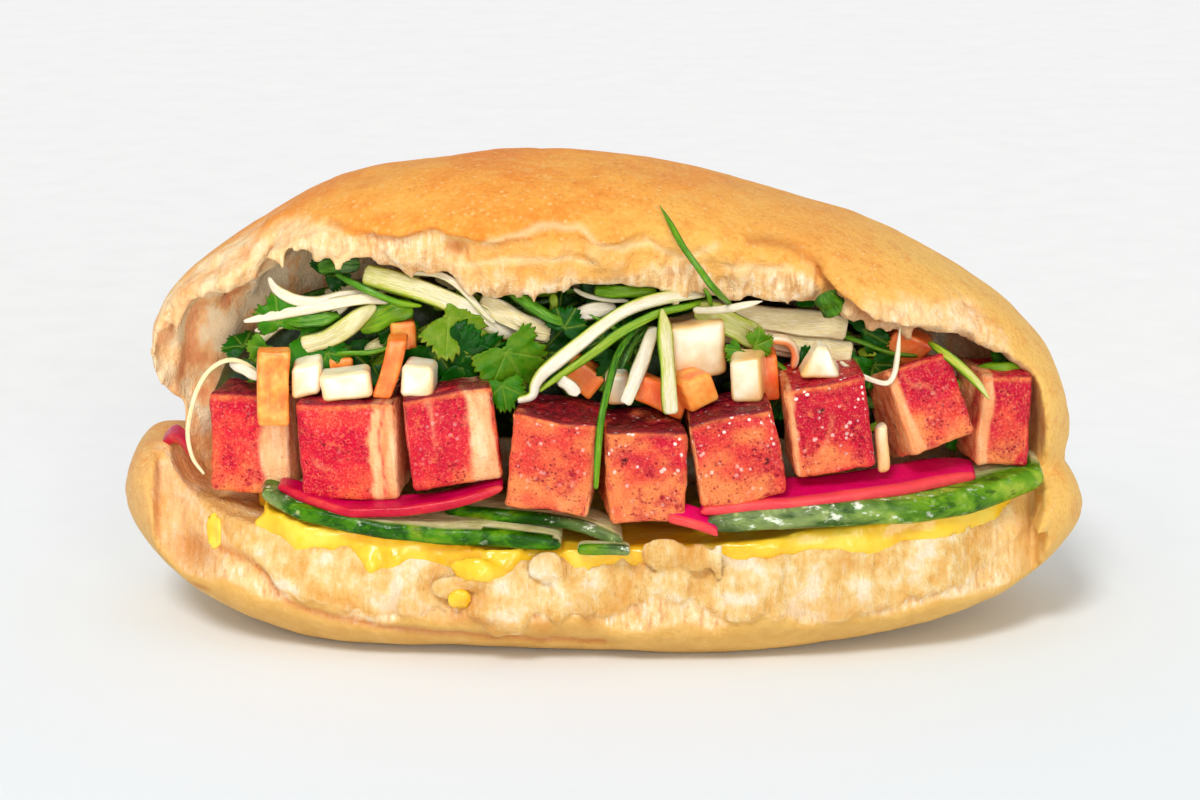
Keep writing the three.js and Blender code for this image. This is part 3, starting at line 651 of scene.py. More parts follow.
# bread material
mb = Mat("bread_baked")
co = mb.coord()
crumb_f = mb.attr("crumb")
inner_f = mb.attr("inner")
golden_f = mb.attr("golden")
crease_f = mb.attr("crease")
front_f = mb.attr("front")
big = mb.noise(co, 38.0, 3.0, 0.55)
mid = mb.noise(co, 190.0, 6.0, 0.72)
fine = mb.noise(co, 1000.0, 5.0, 0.75)
speck = mb.voronoi(co, 520.0)
sep = mb.add("ShaderNodeSeparateXYZ")
mb.link(co, sep.inputs[0])
height = mb.fac(sep.outputs[2], 0.0, 0.095, smooth=False)
right = mb.fac(sep.outputs[0], -0.02, 0.095)
crust_a = mb.ramp(height, [(0.0, srgb(222, 160, 72)), (0.2, srgb(232, 176, 92)), (0.5, srgb(238, 170, 84)), (0.75, srgb(250, 162, 60)), (0.9, srgb(253, 154, 46)), (1.0, srgb(250, 146, 42))])
crust_b = mb.ramp(height, [(0.0, srgb(236, 186, 104)), (0.5, srgb(246, 200, 120)), (0.85, srgb(254, 190, 88)), (1.0, srgb(253, 174, 68))])
crust = mb.mix(mb.fac(big, 0.38, 0.66), crust_a, crust_b)
# right: lighter, yellower crust towards the right end, partly the crust's own paler colour and partly a painted
# highlight
crust = mb.mix(mb.math("MULTIPLY", right, 0.75), crust, srgb(255, 206, 106))
left = mb.fac(sep.outputs[0], -0.080, -0.100)
crust = mb.mix(mb.math("MULTIPLY", left, 0.6), crust, srgb(238, 192, 122))
crust = mb.mix(mb.fac(mid, 0.48, 0.66, 0.0, 0.42), crust, srgb(232, 128, 36))
crust = mb.mix(mb.fac(mid, 0.47, 0.32, 0.0, 0.50), crust, srgb(255, 202, 112))
crust = mb.mix(mb.math("MULTIPLY", mb.fac(speck, 0.10, 0.30, 0.55, 0.0), mb.fac(mid, 0.40, 0.55)), crust, srgb(255, 216, 146))
crust = mb.mix(mb.fac(fine, 0.50, 0.70, 0.0, 0.42), crust, srgb(255, 208, 126))
crust = mb.mix(mb.fac(fine, 0.48, 0.30, 0.0, 0.40), crust, srgb(204, 104, 26))
# the foot of the roll: yellower crust, its colours toned down as painted shade on the lower side
foot_m = mb.fac(sep.outputs[2], 0.030, 0.012, 0.0, 0.72)
crust = mb.mix(foot_m, crust, mb.ramp(mid, [(0.35, srgb(216, 162, 78)), (0.5, srgb(228, 179, 94)), (0.65, srgb(237, 196, 114))]))
cr_n = mb.noise(co, 260.0, 5.0, 0.7)
cr_l = mb.noise(co, 85.0, 3.0, 0.6)
cr_s = mb.noise(mb.scaled(co, (1.0, 0.7, 0.30)), 760.0, 5.0, 0.7)
crumb_c = mb.ramp(cr_n, [(0.28, srgb(228, 172, 100)), (0.45, srgb(243, 202, 142)), (0.6, srgb(250, 226, 182)), (0.78, srgb(255, 244, 222))])
crumb_c = mb.mix(mb.fac(cr_l, 0.42, 0.66, 0.0, 0.75), crumb_c, srgb(240, 194, 118))
fib = mb.noise(mb.scaled(co, (1.0, 0.6, 0.24)), 820.0, 4.0, 0.62)
# fibre streaks: the dark lows paint the shade in the gaps between crumb fibres, the pale highs are the crumb's own
# white
crumb_c = mb.mix(mb.fac(fib, 0.50, 0.37, 0.0, 0.60), crumb_c, srgb(208, 142, 84))
crumb_c = mb.mix(mb.fac(fib, 0.53, 0.68, 0.0, 0.60), crumb_c, srgb(255, 245, 226))
# hollow of the left end: warm pink, lightened crumb, a painted glow of light through the crumb over its own colour
cup_n = mb.noise(mb.scaled(co, (1.0, 1.0, 0.6)), 190.0, 3.0, 0.5)
crumb_c = mb.mix(mb.math("MULTIPLY", inner_f, 0.8), crumb_c, mb.ramp(cup_n, [(0.38, srgb(236, 146, 96)), (0.48, srgb(253, 196, 136)), (0.58, srgb(255, 236, 200))]))
crumb_c = mb.mix(mb.math("MULTIPLY", mb.attr("band"), 0.35), crumb_c, mb.ramp(cr_l, [(0.35, srgb(242, 182, 112)), (0.6, srgb(255, 226, 174))]))
# torn front of the lower lobe: white strands over golden hollows
strand_c = mb.ramp(cr_s, [(0.30, srgb(224, 160, 78)), (0.45, srgb(238, 190, 112)), (0.58, srgb(248, 218, 158)), (0.70, srgb(255, 246, 224))])
patch_c = mb.ramp(mb.noise(co, 110.0, 4.0, 0.6), [(0.38, srgb(224, 154, 66)), (0.47, srgb(238, 188, 106)), (0.55, srgb(249, 220, 160)), (0.63, srgb(255, 248, 230))])
strand_c = mb.mix(0.60, strand_c, patch_c)
low_gold = mb.math("MULTIPLY", mb.fac(sep.outputs[2], 0.017, 0.009), mb.fac(cr_l, 0.40, 0.55))
strand_c = mb.mix(mb.math("MULTIPLY", low_gold, 0.6), strand_c, srgb(228, 164, 78))
crumb_c = mb.mix(front_f, crumb_c, strand_c)
low_left = mb.math("MULTIPLY", mb.fac(sep.outputs[0], -0.066, -0.088), mb.fac(sep.outputs[2], 0.040, 0.032))
crumb_c = mb.mix(mb.math("MULTIPLY", low_left, 0.5), crumb_c, srgb(220, 158, 88))
gold_c = mb.ramp(mid, [(0.3, srgb(238, 158, 66)), (0.5, srgb(246, 188, 98)), (0.70, srgb(254, 222, 156))])
gold_c = mb.mix(0.45, gold_c, crust)
crumb_c = mb.mix(mb.math("MULTIPLY", golden_f, 0.92), crumb_c, gold_c)
col = mb.mix(crumb_f, crust, crumb_c)
# painted shade in creases, under the flap and in holes, with amber glaze spots
col = mb.mix(mb.math("MULTIPLY", crease_f, 0.75, clamp=True), col, srgb(196, 112, 40))
col = mb.mix(mb.math("MULTIPLY", mb.attr("crack"), 0.7, clamp=True), col, srgb(255, 230, 178))
mb.set("Base Color", col)
mb.set("Roughness", mb.fac(crumb_f, 0.0, 1.0, 0.5, 0.85))
mb.set("Specular IOR Level", 0.28)
mb.set("Subsurface Weight", 0.04)
mb.set("Subsurface Radius", (0.004, 0.002, 0.001))
mb.set("Subsurface Scale", 0.4)
h1 = mb.math("ADD", mb.math("MULTIPLY", fine, 0.45), mb.math("MULTIPLY", mid, 0.6))
h2 = mb.math("ADD", mb.math("MULTIPLY", cr_n, 1.2), mb.math("MULTIPLY", cr_s, mb.math("ADD", mb.math("MULTIPLY", front_f, 0.9), 0.15)))
hmix = mb.math("ADD", mb.math("MULTIPLY", h1, mb.math("SUBTRACT", 1.0, crumb_f)), mb.math("MULTIPLY", h2, crumb_f))
mb.set("Normal", mb.bump(hmix, 0.75, 0.0016))
give(bread, mb)
# ------------------------------------------------------------------ placements, as in the solids
# centre x, y, z, width, depth, height, pitch, roll, yaw
PORK = {
    "pork_cube_1": [-70.6, -13.8, 41.9, 17.1, 17.0, 20.9, 0, -0.0, -14],
    "pork_cube_2": [-50.5, -22.6, 42.9, 20.1, 19.0, 20.3, 0, -2.0, -6],
    "pork_cube_3": [-31.0, -24.5, 46.2, 18.1, 19.0, 19.6, 0, -7.0, 4],
    "pork_cube_4": [-9.8, -28.5, 41.8, 17.1, 19.0, 19.4, 0, 7.0, -5],
    "pork_cube_5": [7.9, -29.5, 39.6, 15.7, 19.0, 18.6, 0, -0.0, 4],
    "pork_cube_6": [26.3, -28.5, 43.2, 16.7, 19.0, 18.4, 0, -10.0, 2],
    "pork_cube_7": [45.0, -24.5, 48.6, 16.4, 19.0, 19.5, 0, -8.0, 3],
    "pork_cube_8": [64.0, -19.7, 49.5, 13.9, 18.0, 17.7, -18, -16.0, 14],
    "pork_cube_9": [79.9, -13.3, 46.4, 11.6, 16.0, 19.1, 0, 2.0, 16],
}
CARROT = {
    "carrot_1": [-66.8, -26.8, 55.0, 6.4, 5.5, 15.4, 0, 2, 6],
    "carrot_2": [-54.2, -18.6, 57.8, 5.3, 7.0, 4.6, 0, 0, 10],
    "carrot_3": [-43.0, -27.0, 59.4, 3.9, 7.0, 11.7, 0, 9, 0],
    "carrot_4": [-41.0, -16.0, 62.8, 5.3, 8.0, 7.6, 0, -5, 8],
    "carrot_5": [-4.1, -20.0, 56.0, 7.3, 8.0, 5.5, 0, 38, 0],
    "carrot_6": [11.2, -25.5, 53.4, 10.0, 9.0, 5.2, 0, 22, 5],
    "carrot_7": [17.5, -27.9, 55.4, 6.8, 9.0, 6.2, 0, -8, 25],
    "carrot_8": [32.8, -20.0, 56.2, 4.5, 8.0, 10.1, 0, -6, 5],
    "carrot_9": [60.9, -12.5, 59.7, 9.0, 9.0, 7.6, 0, 28, 0],
}
DAIKON = {
    "daikon_1": [-60.2, -24.5, 57.0, 6.0, 8.0, 6.9, 0, -4, 6],
    "daikon_2": [-51.8, -27.5, 55.9, 10.0, 8.0, 5.4, 0, -8, 4],
    "daikon_3": [-37.0, -29.0, 57.8, 6.4, 8.0, 6.6, 0, 12, -6],
    "daikon_4": [2.2, -24.0, 54.5, 4.8, 6.0, 6.5, 0, 0, 0],
    "daikon_5": [18.1, -19.1, 61.9, 11.3, 12.0, 11.3, 0, -6, 10],
    "daikon_6": [29.1, -28.0, 57.9, 6.4, 8.0, 9.1, 0, -4, -8],
    "daikon_7": [43.0, -29.0, 61.5, 9.2, 7.0, 6.6, 0, 0, 0],
    "daikon_8": [56.4, -29.0, 43.1, 2.8, 4.0, 9.2, 0, -14, 0],
}
CUCUMBER = {
    "cucumber_1": dict(line=[[-69.4, -29.0, 33.0], [-61.2, -33.5, 30.4], [-52.1, -36.5, 28.8], [-38.5, -38.5, 27.3], [-25.3, -39.2, 26.5], [-8.7, -39.5, 25.5]], width=20, thick=3.9, tilt=2),
    "cucumber_2": dict(line=[[-32.3, -30.0, 29.7], [-21.0, -33.0, 29.4], [-8.9, -35.0, 28.7], [3.6, -37.5, 25.7]], width=13, thick=2.8, tilt=2),
    "cucumber_3": dict(line=[[20.2, -39.5, 29.7], [34.6, -39.0, 30.6], [49.3, -37.5, 31.2], [64.1, -34.0, 30.9], [77.4, -28.5, 32.0], [90.1, -21.0, 34.2]], width=19, thick=4.8, tilt=4),
    "cucumber_4": dict(line=[[-5.2, -40.0, 24.6], [-0.0, -40.4, 24.5], [5.2, -40.4, 24.7]], width=5, thick=2.2, tilt=0),
}
PICKLE = {
    "pickle_1": dict(line=[[-66.2, -29.0, 34.5], [-56.7, -34.0, 32.0], [-47.4, -36.5, 31.3], [-30.9, -37.0, 33.1], [-20.3, -36.0, 36.6]], width=8, thick=2.2, tilt=4),
    "pickle_2": dict(line=[[19.2, -38.8, 32.2], [34.6, -38.4, 33.3], [49.3, -36.0, 34.1], [63.9, -31.0, 35.1], [75.7, -25.0, 35.4]], width=12, thick=2.6, tilt=8),
    "pickle_3": dict(line=[[12.8, -39.0, 30.8], [18.1, -40.5, 29.6], [22.7, -41.0, 28.1]], width=6, thick=2.0, tilt=25),
    "pickle_4": dict(line=[[-92.5, -8.0, 37.4], [-88.9, -12.0, 39.8], [-85.3, -18.0, 38.3]], width=6, thick=2.2, tilt=10),
}
# ------------------------------------------------------------------ salad placements
# name, centre line, width, greenness at both ends, roll, twist, cup, taper at both ends
STRIPS = [
    ('pale_band', [[-48.7, -18.0, 76.3], [-42.4, -20.0, 75.3], [-35.2, -21.5, 73.2], [-29.2, -22.5, 70.8], [-25.1, -22.0, 68.2], [-20.4, -21.0, 65.8], [-15.7, -20.0, 64.3], [-11.2, -19.0, 64.2]], 3.9, 0.3, 0.04, 4, 8, 0.35, 0.0, 0.2),
    ('beige_layer', [[-39.4, -19.0, 76.9], [-34.0, -20.0, 76.9], [-30.1, -21.5, 75.4], [-26.8, -22.6, 72.4], [-23.9, -22.8, 69.0], [-22.1, -22.6, 67.3]], 1.3, 0.12, 0.12, 40, 20, 0.3, 0.5, 0.5),
    ('olive_stem', [[-54.3, -18.0, 76.4], [-50.1, -20.5, 74.8], [-45.8, -22.0, 73.1], [-41.1, -22.5, 71.4], [-37.0, -21.0, 70.5]], 1.3, 0.85, 0.6, 0, 0, 1.0, 0.3, 0.6),
    ('curved_pale', [[-68.1, -17.0, 75.4], [-66.4, -18.5, 73.3], [-62.4, -20.0, 71.5], [-57.9, -20.5, 71.2], [-53.2, -19.5, 72.0], [-48.5, -18.0, 72.3]], 2.2, 0.05, 0.1, -10, 25, 0.6, 0.6, 0.2),
    ('left_strip', [[-73.3, -18.0, 66.6], [-67.0, -19.5, 68.2], [-60.9, -20.5, 69.7], [-54.9, -21.0, 71.0], [-48.9, -20.5, 71.8], [-43.7, -19.0, 71.2]], 2.1, 0.05, 0.12, 5, -10, 0.6, 0.7, 0.3),
    ('left_strip_low', [[-71.1, -18.0, 64.6], [-67.1, -19.0, 65.9], [-62.2, -19.5, 67.2], [-58.1, -19.0, 67.9]], 1.7, 0.08, 0.2, -5, 10, 0.6, 0.6, 0.4),
    ('green_flat', [[-64.3, -20.0, 66.9], [-60.9, -20.8, 67.3], [-57.3, -20.8, 67.7], [-53.5, -19.8, 68.3]], 2.6, 0.78, 0.74, 0, 0, 0.4, 0.8, 0.8),
    ('beige_flap', [[-61.1, -21.5, 62.2], [-56.1, -22.0, 63.9], [-51.9, -22.0, 66.4], [-49.0, -21.0, 68.6], [-46.4, -19.5, 70.3]], 3.6, 0.2, 0.26, -25, 15, 0.4, 0.0, 0.7),
    ('olive_band', [[-49.8, -18.5, 65.5], [-46.1, -19.0, 67.3], [-42.5, -19.0, 69.0], [-39.0, -18.0, 69.5]], 4.2, 0.62, 0.66, 0, 0, 0.5, 0.3, 0.3),
    ('back_beige', [[-52.5, -17.0, 57.5], [-50.0, -17.5, 59.7], [-47.0, -17.5, 61.1], [-44.6, -16.5, 62.7]], 2.4, 0.18, 0.3, 0, 10, 0.5, 0.4, 0.4),
    ('dark_back1', [[-58.2, -15.0, 77.1], [-54.6, -15.5, 77.8], [-49.8, -15.0, 77.9]], 3.4, 0.8, 0.9, 0, 0, 0.4, 0.4, 0.4),
    ('left_low_white', [[-76.4, -18.0, 57.8], [-73.8, -20.0, 57.3], [-71.4, -21.0, 56.1], [-70.4, -21.5, 55.3]], 2.0, 0.0, 0.05, 0, 0, 0.7, 0.5, 0.5),
    ('white_arc', [[20.4, -21.0, 73.1], [13.5, -23.5, 73.1], [8.1, -25.0, 72.2], [3.4, -26.0, 70.3], [-1.3, -27.0, 67.2], [-5.4, -28.0, 64.1], [-9.5, -29.0, 61.0], [-12.2, -30.0, 58.9], [-13.8, -31.0, 56.8], [-14.5, -31.5, 54.5], [-17.3, -32.5, 53.8]], 2.5, 0.16, 0.0, -15, 35, 0.7, 0.3, 0.45),
    ('green_under', [[20.8, -20.0, 71.3], [16.5, -22.5, 70.7], [11.7, -24.0, 70.0], [8.2, -25.0, 68.7], [2.8, -26.0, 65.9], [-1.9, -27.0, 62.5], [-7.2, -28.5, 59.1], [-11.2, -29.5, 56.4], [-13.2, -30.0, 55.0]], 1.7, 0.62, 0.52, 20, -20, 0.7, 0.3, 0.6),
    ('hanging', [[8.2, -23.0, 67.5], [5.2, -26.0, 65.4], [2.8, -29.5, 62.5], [1.4, -33.0, 59.1], [0.4, -36.0, 55.7], [-0.6, -38.8, 51.6], [-1.2, -40.2, 45.9], [-1.7, -40.4, 37.8]], 1.35, 0.92, 0.6, 0, 30, 0.8, 0.3, 0.4),
    ('hanging_dark', [[8.8, -22.5, 66.7], [6.4, -25.0, 64.7], [4.5, -28.0, 62.1], [3.4, -29.5, 59.5]], 1.8, 0.97, 0.9, 0, 10, 0.7, 0.3, 0.8),
    ('pale_stick', [[10.1, -23.0, 66.5], [8.9, -26.0, 64.1], [7.4, -29.0, 60.5], [5.6, -32.5, 56.6], [4.1, -34.5, 53.6]], 2.6, 0.12, 0.03, 0, 0, 0.9, 0.3, 0.15),
    ('yellow_strip', [[11.6, -24.5, 70.7], [12.0, -27.5, 68.1], [12.3, -30.0, 64.4], [12.7, -32.5, 60.2], [12.9, -35.0, 55.4], [13.2, -35.8, 51.9]], 2.7, 0.3, 0.16, 0, -8, 0.6, 0.75, 0.0),
    ('spike', [[11.2, -20.8, 91.2], [13.4, -25.6, 88.1], [15.6, -29.4, 84.7], [18.5, -32.2, 81.1], [21.4, -34.4, 77.5], [25.4, -24.0, 71.6]], 1.15, 0.72, 0.7, 0, 15, 0.8, 0.95, 0.2),
    ('spike_low', [[20.1, -24.5, 74.9], [21.0, -24.5, 73.4], [21.6, -23.0, 71.1]], 0.9, 0.7, 0.7, 0, 0, 0.8, 0.3, 0.3),
    ('green_tube', [[-1.8, -20.0, 73.5], [1.7, -21.0, 73.5], [5.8, -21.0, 73.5], [10.5, -20.0, 73.1]], 2.3, 0.66, 0.62, 0, 0, 1.0, 0.1, 0.3),
    ('twig', [[-6.1, -18.0, 73.3], [-3.7, -19.0, 72.3], [-0.1, -20.0, 71.7], [4.9, -20.0, 71.3]], 0.9, 0.12, 0.12, 0, 0, 1.0, 0.3, 0.3),
    ('green_blade', [[-20.6, -20.0, 74.3], [-17.3, -22.5, 72.8], [-13.8, -23.5, 70.6], [-10.2, -23.5, 68.4], [-6.7, -22.0, 67.0]], 2.1, 0.7, 0.76, 0, 15, 0.6, 0.95, 0.4),
    ('clear_band', [[-25.1, -20.0, 71.3], [-20.9, -21.5, 69.4], [-16.2, -22.0, 67.0], [-11.2, -21.0, 64.5]], 3.8, 0.32, 0.2, 5, 10, 0.4, 0.2, 0.3),
    ('clear_band_line', [[-25.1, -20.6, 70.8], [-20.3, -22.1, 68.7], [-15.6, -22.6, 66.3], [-10.9, -21.5, 64.7]], 0.7, 0.7, 0.7, 0, 0, 0.8, 0.3, 0.5),
    ('back_oval', [[-7.0, -19.0, 67.4], [-4.3, -20.0, 68.8], [-1.3, -20.0, 69.4], [2.3, -19.0, 69.6]], 2.9, 0.04, 0.1, 0, 0, 0.5, 0.4, 0.4),
    ('stem_back', [[-10.4, -18.0, 72.2], [-10.2, -18.5, 70.5], [-10.2, -18.5, 68.7]], 1.6, 0.55, 0.5, 0, 0, 1.0, 0.1, 0.1),
    ('white_low', [[-9.5, -28.0, 57.2], [-7.5, -29.5, 56.4], [-5.1, -30.5, 54.5]], 2.3, 0.05, 0.0, 0, 20, 0.6, 0.5, 0.3),
    ('right_pale', [[18.2, -22.0, 69.9], [21.8, -24.5, 70.5], [25.3, -26.0, 71.2], [28.8, -26.5, 72.1], [31.8, -26.0, 72.7]], 1.4, 0.12, 0.03, 0, 0, 0.9, 0.1, 0.95),
    ('right_wide', [[18.6, -20.5, 69.8], [21.9, -22.0, 68.9], [25.4, -22.5, 67.2], [28.8, -22.0, 65.2], [31.8, -21.0, 63.1]], 4.6, 0.36, 0.3, 0, 12, 0.3, 0.2, 0.2),
    ('clear_fan_a', [[23.0, -18.5, 68.0], [28.3, -17.8, 67.5], [34.2, -17.3, 66.9], [40.1, -17.5, 66.2], [44.9, -18.3, 65.9], [49.4, -18.8, 65.2]], 4.6, 0.24, 0.06, -8, 10, 0.35, 0.3, 0.0),
    ('clear_fan_b', [[23.7, -18.5, 64.3], [29.5, -17.6, 63.7], [36.0, -17.2, 62.8], [41.9, -17.8, 61.7], [46.1, -18.6, 60.8], [50.5, -19.2, 60.2]], 4.4, 0.26, 0.04, 8, 6, 0.35, 0.3, 0.0),
    ('clear_fan_c', [[26.6, -17.8, 62.2], [31.3, -17.0, 61.5], [37.2, -16.8, 60.6], [40.8, -17.0, 60.2]], 3.2, 0.42, 0.2, 0, 0, 0.4, 0.4, 0.4),
    ('shred', [[47.8, -24.0, 59.6], [50.7, -27.0, 58.1], [54.2, -28.5, 56.9], [56.9, -29.0, 56.5], [58.3, -28.5, 58.3], [59.0, -27.0, 61.7], [59.6, -25.5, 67.1]], 1.0, 0.03, 0.06, 0, 40, 0.9, 0.3, 0.8),
    ('right_stem', [[66.0, -20.0, 62.7], [69.3, -24.5, 61.0], [72.6, -27.5, 58.7], [75.2, -28.8, 56.2], [77.4, -29.8, 53.3]], 1.7, 0.55, 0.28, 0, 15, 0.9, 0.6, 0.85),
    ('right_bit', [[76.2, -15.0, 55.3], [79.3, -17.0, 56.4], [82.2, -17.5, 56.7], [85.1, -16.0, 55.9]], 2.2, 0.62, 0.6, 0, 0, 0.6, 0.3, 0.3),
    ('right_dark', [[43.9, -28.2, 74.9], [44.7, -27.4, 73.4], [45.8, -26.0, 71.6], [47.0, -24.8, 69.9]], 4.4, 0.84, 0.78, 0, 0, 0.3, 0.2, 0.2),
    ('right_mid', [[52.2, -16.0, 59.3], [54.5, -17.0, 60.2], [58.1, -16.5, 60.5]], 2.2, 0.5, 0.5, 0, 0, 0.5, 0.4, 0.4),
    ('left_end_curl', [[-69.8, -20.0, 55.6], [-72.9, -20.0, 58.2], [-76.7, -19.0, 58.7], [-80.5, -18.5, 56.5], [-83.0, -19.0, 52.8], [-84.5, -19.5, 48.3], [-85.3, -20.0, 43.3], [-84.5, -19.5, 38.1], [-82.4, -19.0, 34.5]], 0.9, 0.16, 0.12, 0, 30, 0.9, 0.3, 0.4),
]
# x, y, z, length, direction, yaw, pitch, tone (low tones are dark greens, partly painted shade), cup
LEAVES = [
    (-60.7, -20.5, 63.7, 9.5, -20, 20, -15, 0.5, 0.35),
    (-65.8, -20, 66.6, 6.0, 100, -10, 10, 0.55, 0.3),
    (-68.8, -21, 62.0, 4.0, 230, 0, 10, 0.6, 0.2),
    (-56.2, -22, 61.0, 5.0, -60, 10, 0, 0.42, 0.3),
    (-31.5, -24.5, 68.6, 8.4, -35, 10, -20, 0.72, 0.3),
    (-33.6, -25.6, 62.2, 10.5, -60, -15, 15, 0.2, 0.5),
    (-28.6, -26.4, 59.9, 9.5, -25, 10, 25, 0.24, 0.4),
    (-19.7, -26.5, 62.4, 8.8, -60, 15, 10, 0.62, 0.35),
    (-20.5, -29.5, 56.2, 5.2, -80, 0, 0, 0.55, 0.2),
    (-12.7, -20.0, 60.5, 7.0, 0, 0, 0, 0.2, 0.3),
    (-8.1, -23.5, 66.5, 4.6, 60, 0, 0, 0.25, 0.3),
    (-14.5, -19.0, 62.3, 6.0, -20, 0, 0, 0.18, 0.3),
    (2.9, -22.0, 60.6, 6.0, -80, 20, 0, 0.22, 0.4),
    (1.1, -22.5, 57.7, 5.0, -60, 0, 0, 0.35, 0.3),
    (-0.1, -20.0, 63.2, 5.5, 150, 0, 0, 0.2, 0.3),
    (30.4, -25.6, 63.4, 3.7, 20, 0, 20, 0.66, 0.3),
    (27.2, -26.0, 62.5, 3.0, -140, 0, 0, 0.6, 0.25),
    (-2.5, -17.0, 71.7, 6.0, 10, 0, 0, 0.2, 0.3),
    (43.4, -18.0, 70.6, 5.0, 80, 0, 0, 0.35, 0.2),
    (53.1, -17.5, 64.3, 5.6, 30, 0, 0, 0.28, 0.3),
    (55.1, -18.0, 57.6, 5.4, -50, 0, 10, 0.32, 0.3),
    (51.3, -19.0, 59.1, 4.6, -120, 0, 10, 0.4, 0.3),
    (39.9, -20.0, 57.5, 5.5, -30, 0, 0, 0.3, 0.3),
    (35.8, -20.0, 51.3, 5.0, -120, 0, 0, 0.3, 0.3),
    (-52.3, -18.0, 61.2, 5.4, -90, 0, 0, 0.2, 0.3),
    (-56.5, -15.0, 75.9, 5.0, 40, 0, 0, 0.15, 0.2),
    (-42.7, -17.5, 66.0, 5.0, -60, 0, 0, 0.3, 0.3),
    (81.6, -13.0, 55.7, 4.6, 10, 0, 0, 0.5, 0.3),
]
# ------------------------------------------------------------------ pork, dice: softened boxes
def rot_zxy(pitch, roll, yaw):
    p, r, y = (math.radians(v) for v in (pitch, roll, yaw))
    rx = np.array([[1, 0, 0], [0, math.cos(p), -math.sin(p)], [0, math.sin(p), math.cos(p)]])
    ry = np.array([[math.cos(r), 0, math.sin(r)], [0, 1, 0], [-math.sin(r), 0, math.cos(r)]])
    rz = np.array([[math.cos(y), -math.sin(y), 0], [math.sin(y), math.cos(y), 0], [0, 0, 1]])
    return rz @ rx @ ry


def cube_grid(n):
    """Vertices on the unit cube -1..1 (shared edges) and its quads."""
    index = {}
    verts = []
    faces = []

    def vid(i, j, k):
        key = (i, j, k)
        if key not in index:
            index[key] = len(verts)
            verts.append((2 * i / n - 1, 2 * j / n - 1, 2 * k / n - 1))
        return index[key]

    for a in range(n):
        for b in range(n):
            for side in (0, n):
                q = [(side, a, b), (side, a + 1, b), (side, a + 1, b + 1), (side, a, b + 1)]
                faces.append([vid(*c) for c in (q if side == n else q[::-1])])
                q = [(a, side, b), (a, side, b + 1), (a + 1, side, b + 1), (a + 1, side, b)]
                faces.append([vid(*c) for c in (q if side == n else q[::-1])])
                q = [(a, b, side), (a + 1, b, side), (a + 1, b + 1, side), (a, b + 1, side)]
                faces.append([vid(*c) for c in (q if side == n else q[::-1])])
    return np.array(verts), faces


GRIDS = {}


def soft_box(row, edge, n, seed, warp=0.5, fine=0.0, shape=None):
    """A softened, slightly uneven box. Returns vertices in mm, faces and local coordinates -1..1."""
    x, y, z, w, d, h, pitch, roll, yaw = row
    if n not in GRIDS:
        GRIDS[n] = cube_grid(n)
    u, faces = GRIDS[n]
    half = np.array([w, d, h]) / 2
    # crowd the grid towards the edges a little
    g = np.sign(u) * (1 - (1 - np.abs(u)) ** 1.15)
    p = g * half
    inner = np.clip(p, -(half - edge), half - edge)
    diff = p - inner
    length = np.linalg.norm(diff, axis=1)
    out = np.where(length[:, None] > 1e-6, inner + diff / np.maximum(length, 1e-6)[:, None] * edge, p)
    on_face = (np.abs(np.abs(u) - 1) < 1e-9)
    single = on_face.sum(1) == 1
    out = np.where((single & (length < 1e-6))[:, None], p, out)
    if shape is not None:
        out = shape(out, half)
    q = out + seed * 37.0
    nrm = diff / np.maximum(length, 1e-6)[:, None]
    nrm = np.where(length[:, None] > 1e-6, nrm, 0)
    lowv = np.stack([noise(q, 9.0, 20), noise(q + 50, 9.0, 21), noise(q + 90, 9.0, 22)], 1) * warp
    out = out + lowv
    if fine:
        out = out + nrm * (fbm(q, 2.4, 3, 24) * fine)[:, None]
    R = rot_zxy(pitch, roll, yaw)
    return out @ R.T + np.array([x, y, z]), faces, u


# fat bands: (centre, half width) across the cube, then how orange the lean is and the side where it turns orange, then
# the share of painted white highlight specks
PORK_LOOK = {
    "pork_cube_1": dict(fat=[(0.72, 0.40)], orange=0.55, side=0.1, wet=0.1, peach=0.15),
    "pork_cube_2": dict(fat=[(0.50, 0.10), (0.86, 0.20)], orange=0.26, side=0.5, wet=0.12, peach=0.45),
    "pork_cube_3": dict(fat=[(0.62, 0.28)], orange=0.36, side=0.6, wet=0.3, peach=0.1),
    "pork_cube_4": dict(fat=[(1.05, 0.10)], orange=0.84, side=0.1, wet=0.5, peach=0.9),
    "pork_cube_5": dict(fat=[], orange=1.0, side=-0.2, wet=1.0, peach=1.0),
    "pork_cube_6": dict(fat=[(-1.02, 0.10)], orange=0.60, side=-0.5, wet=1.0, peach=1.0),
    "pork_cube_7": dict(fat=[(-0.96, 0.14)], orange=0.22, side=-0.6, wet=1.0, peach=0.9, top=0.35),
    "pork_cube_8": dict(top=0.3, fat=[(-0.84, 0.26)], orange=0.42, side=-0.7, wet=0.2, peach=0.85),
    "pork_cube_9": dict(top=0.3, fat=[(-0.80, 0.26)], orange=0.32, side=-0.5, wet=0.05, peach=0.75),
}
pork_objects = []
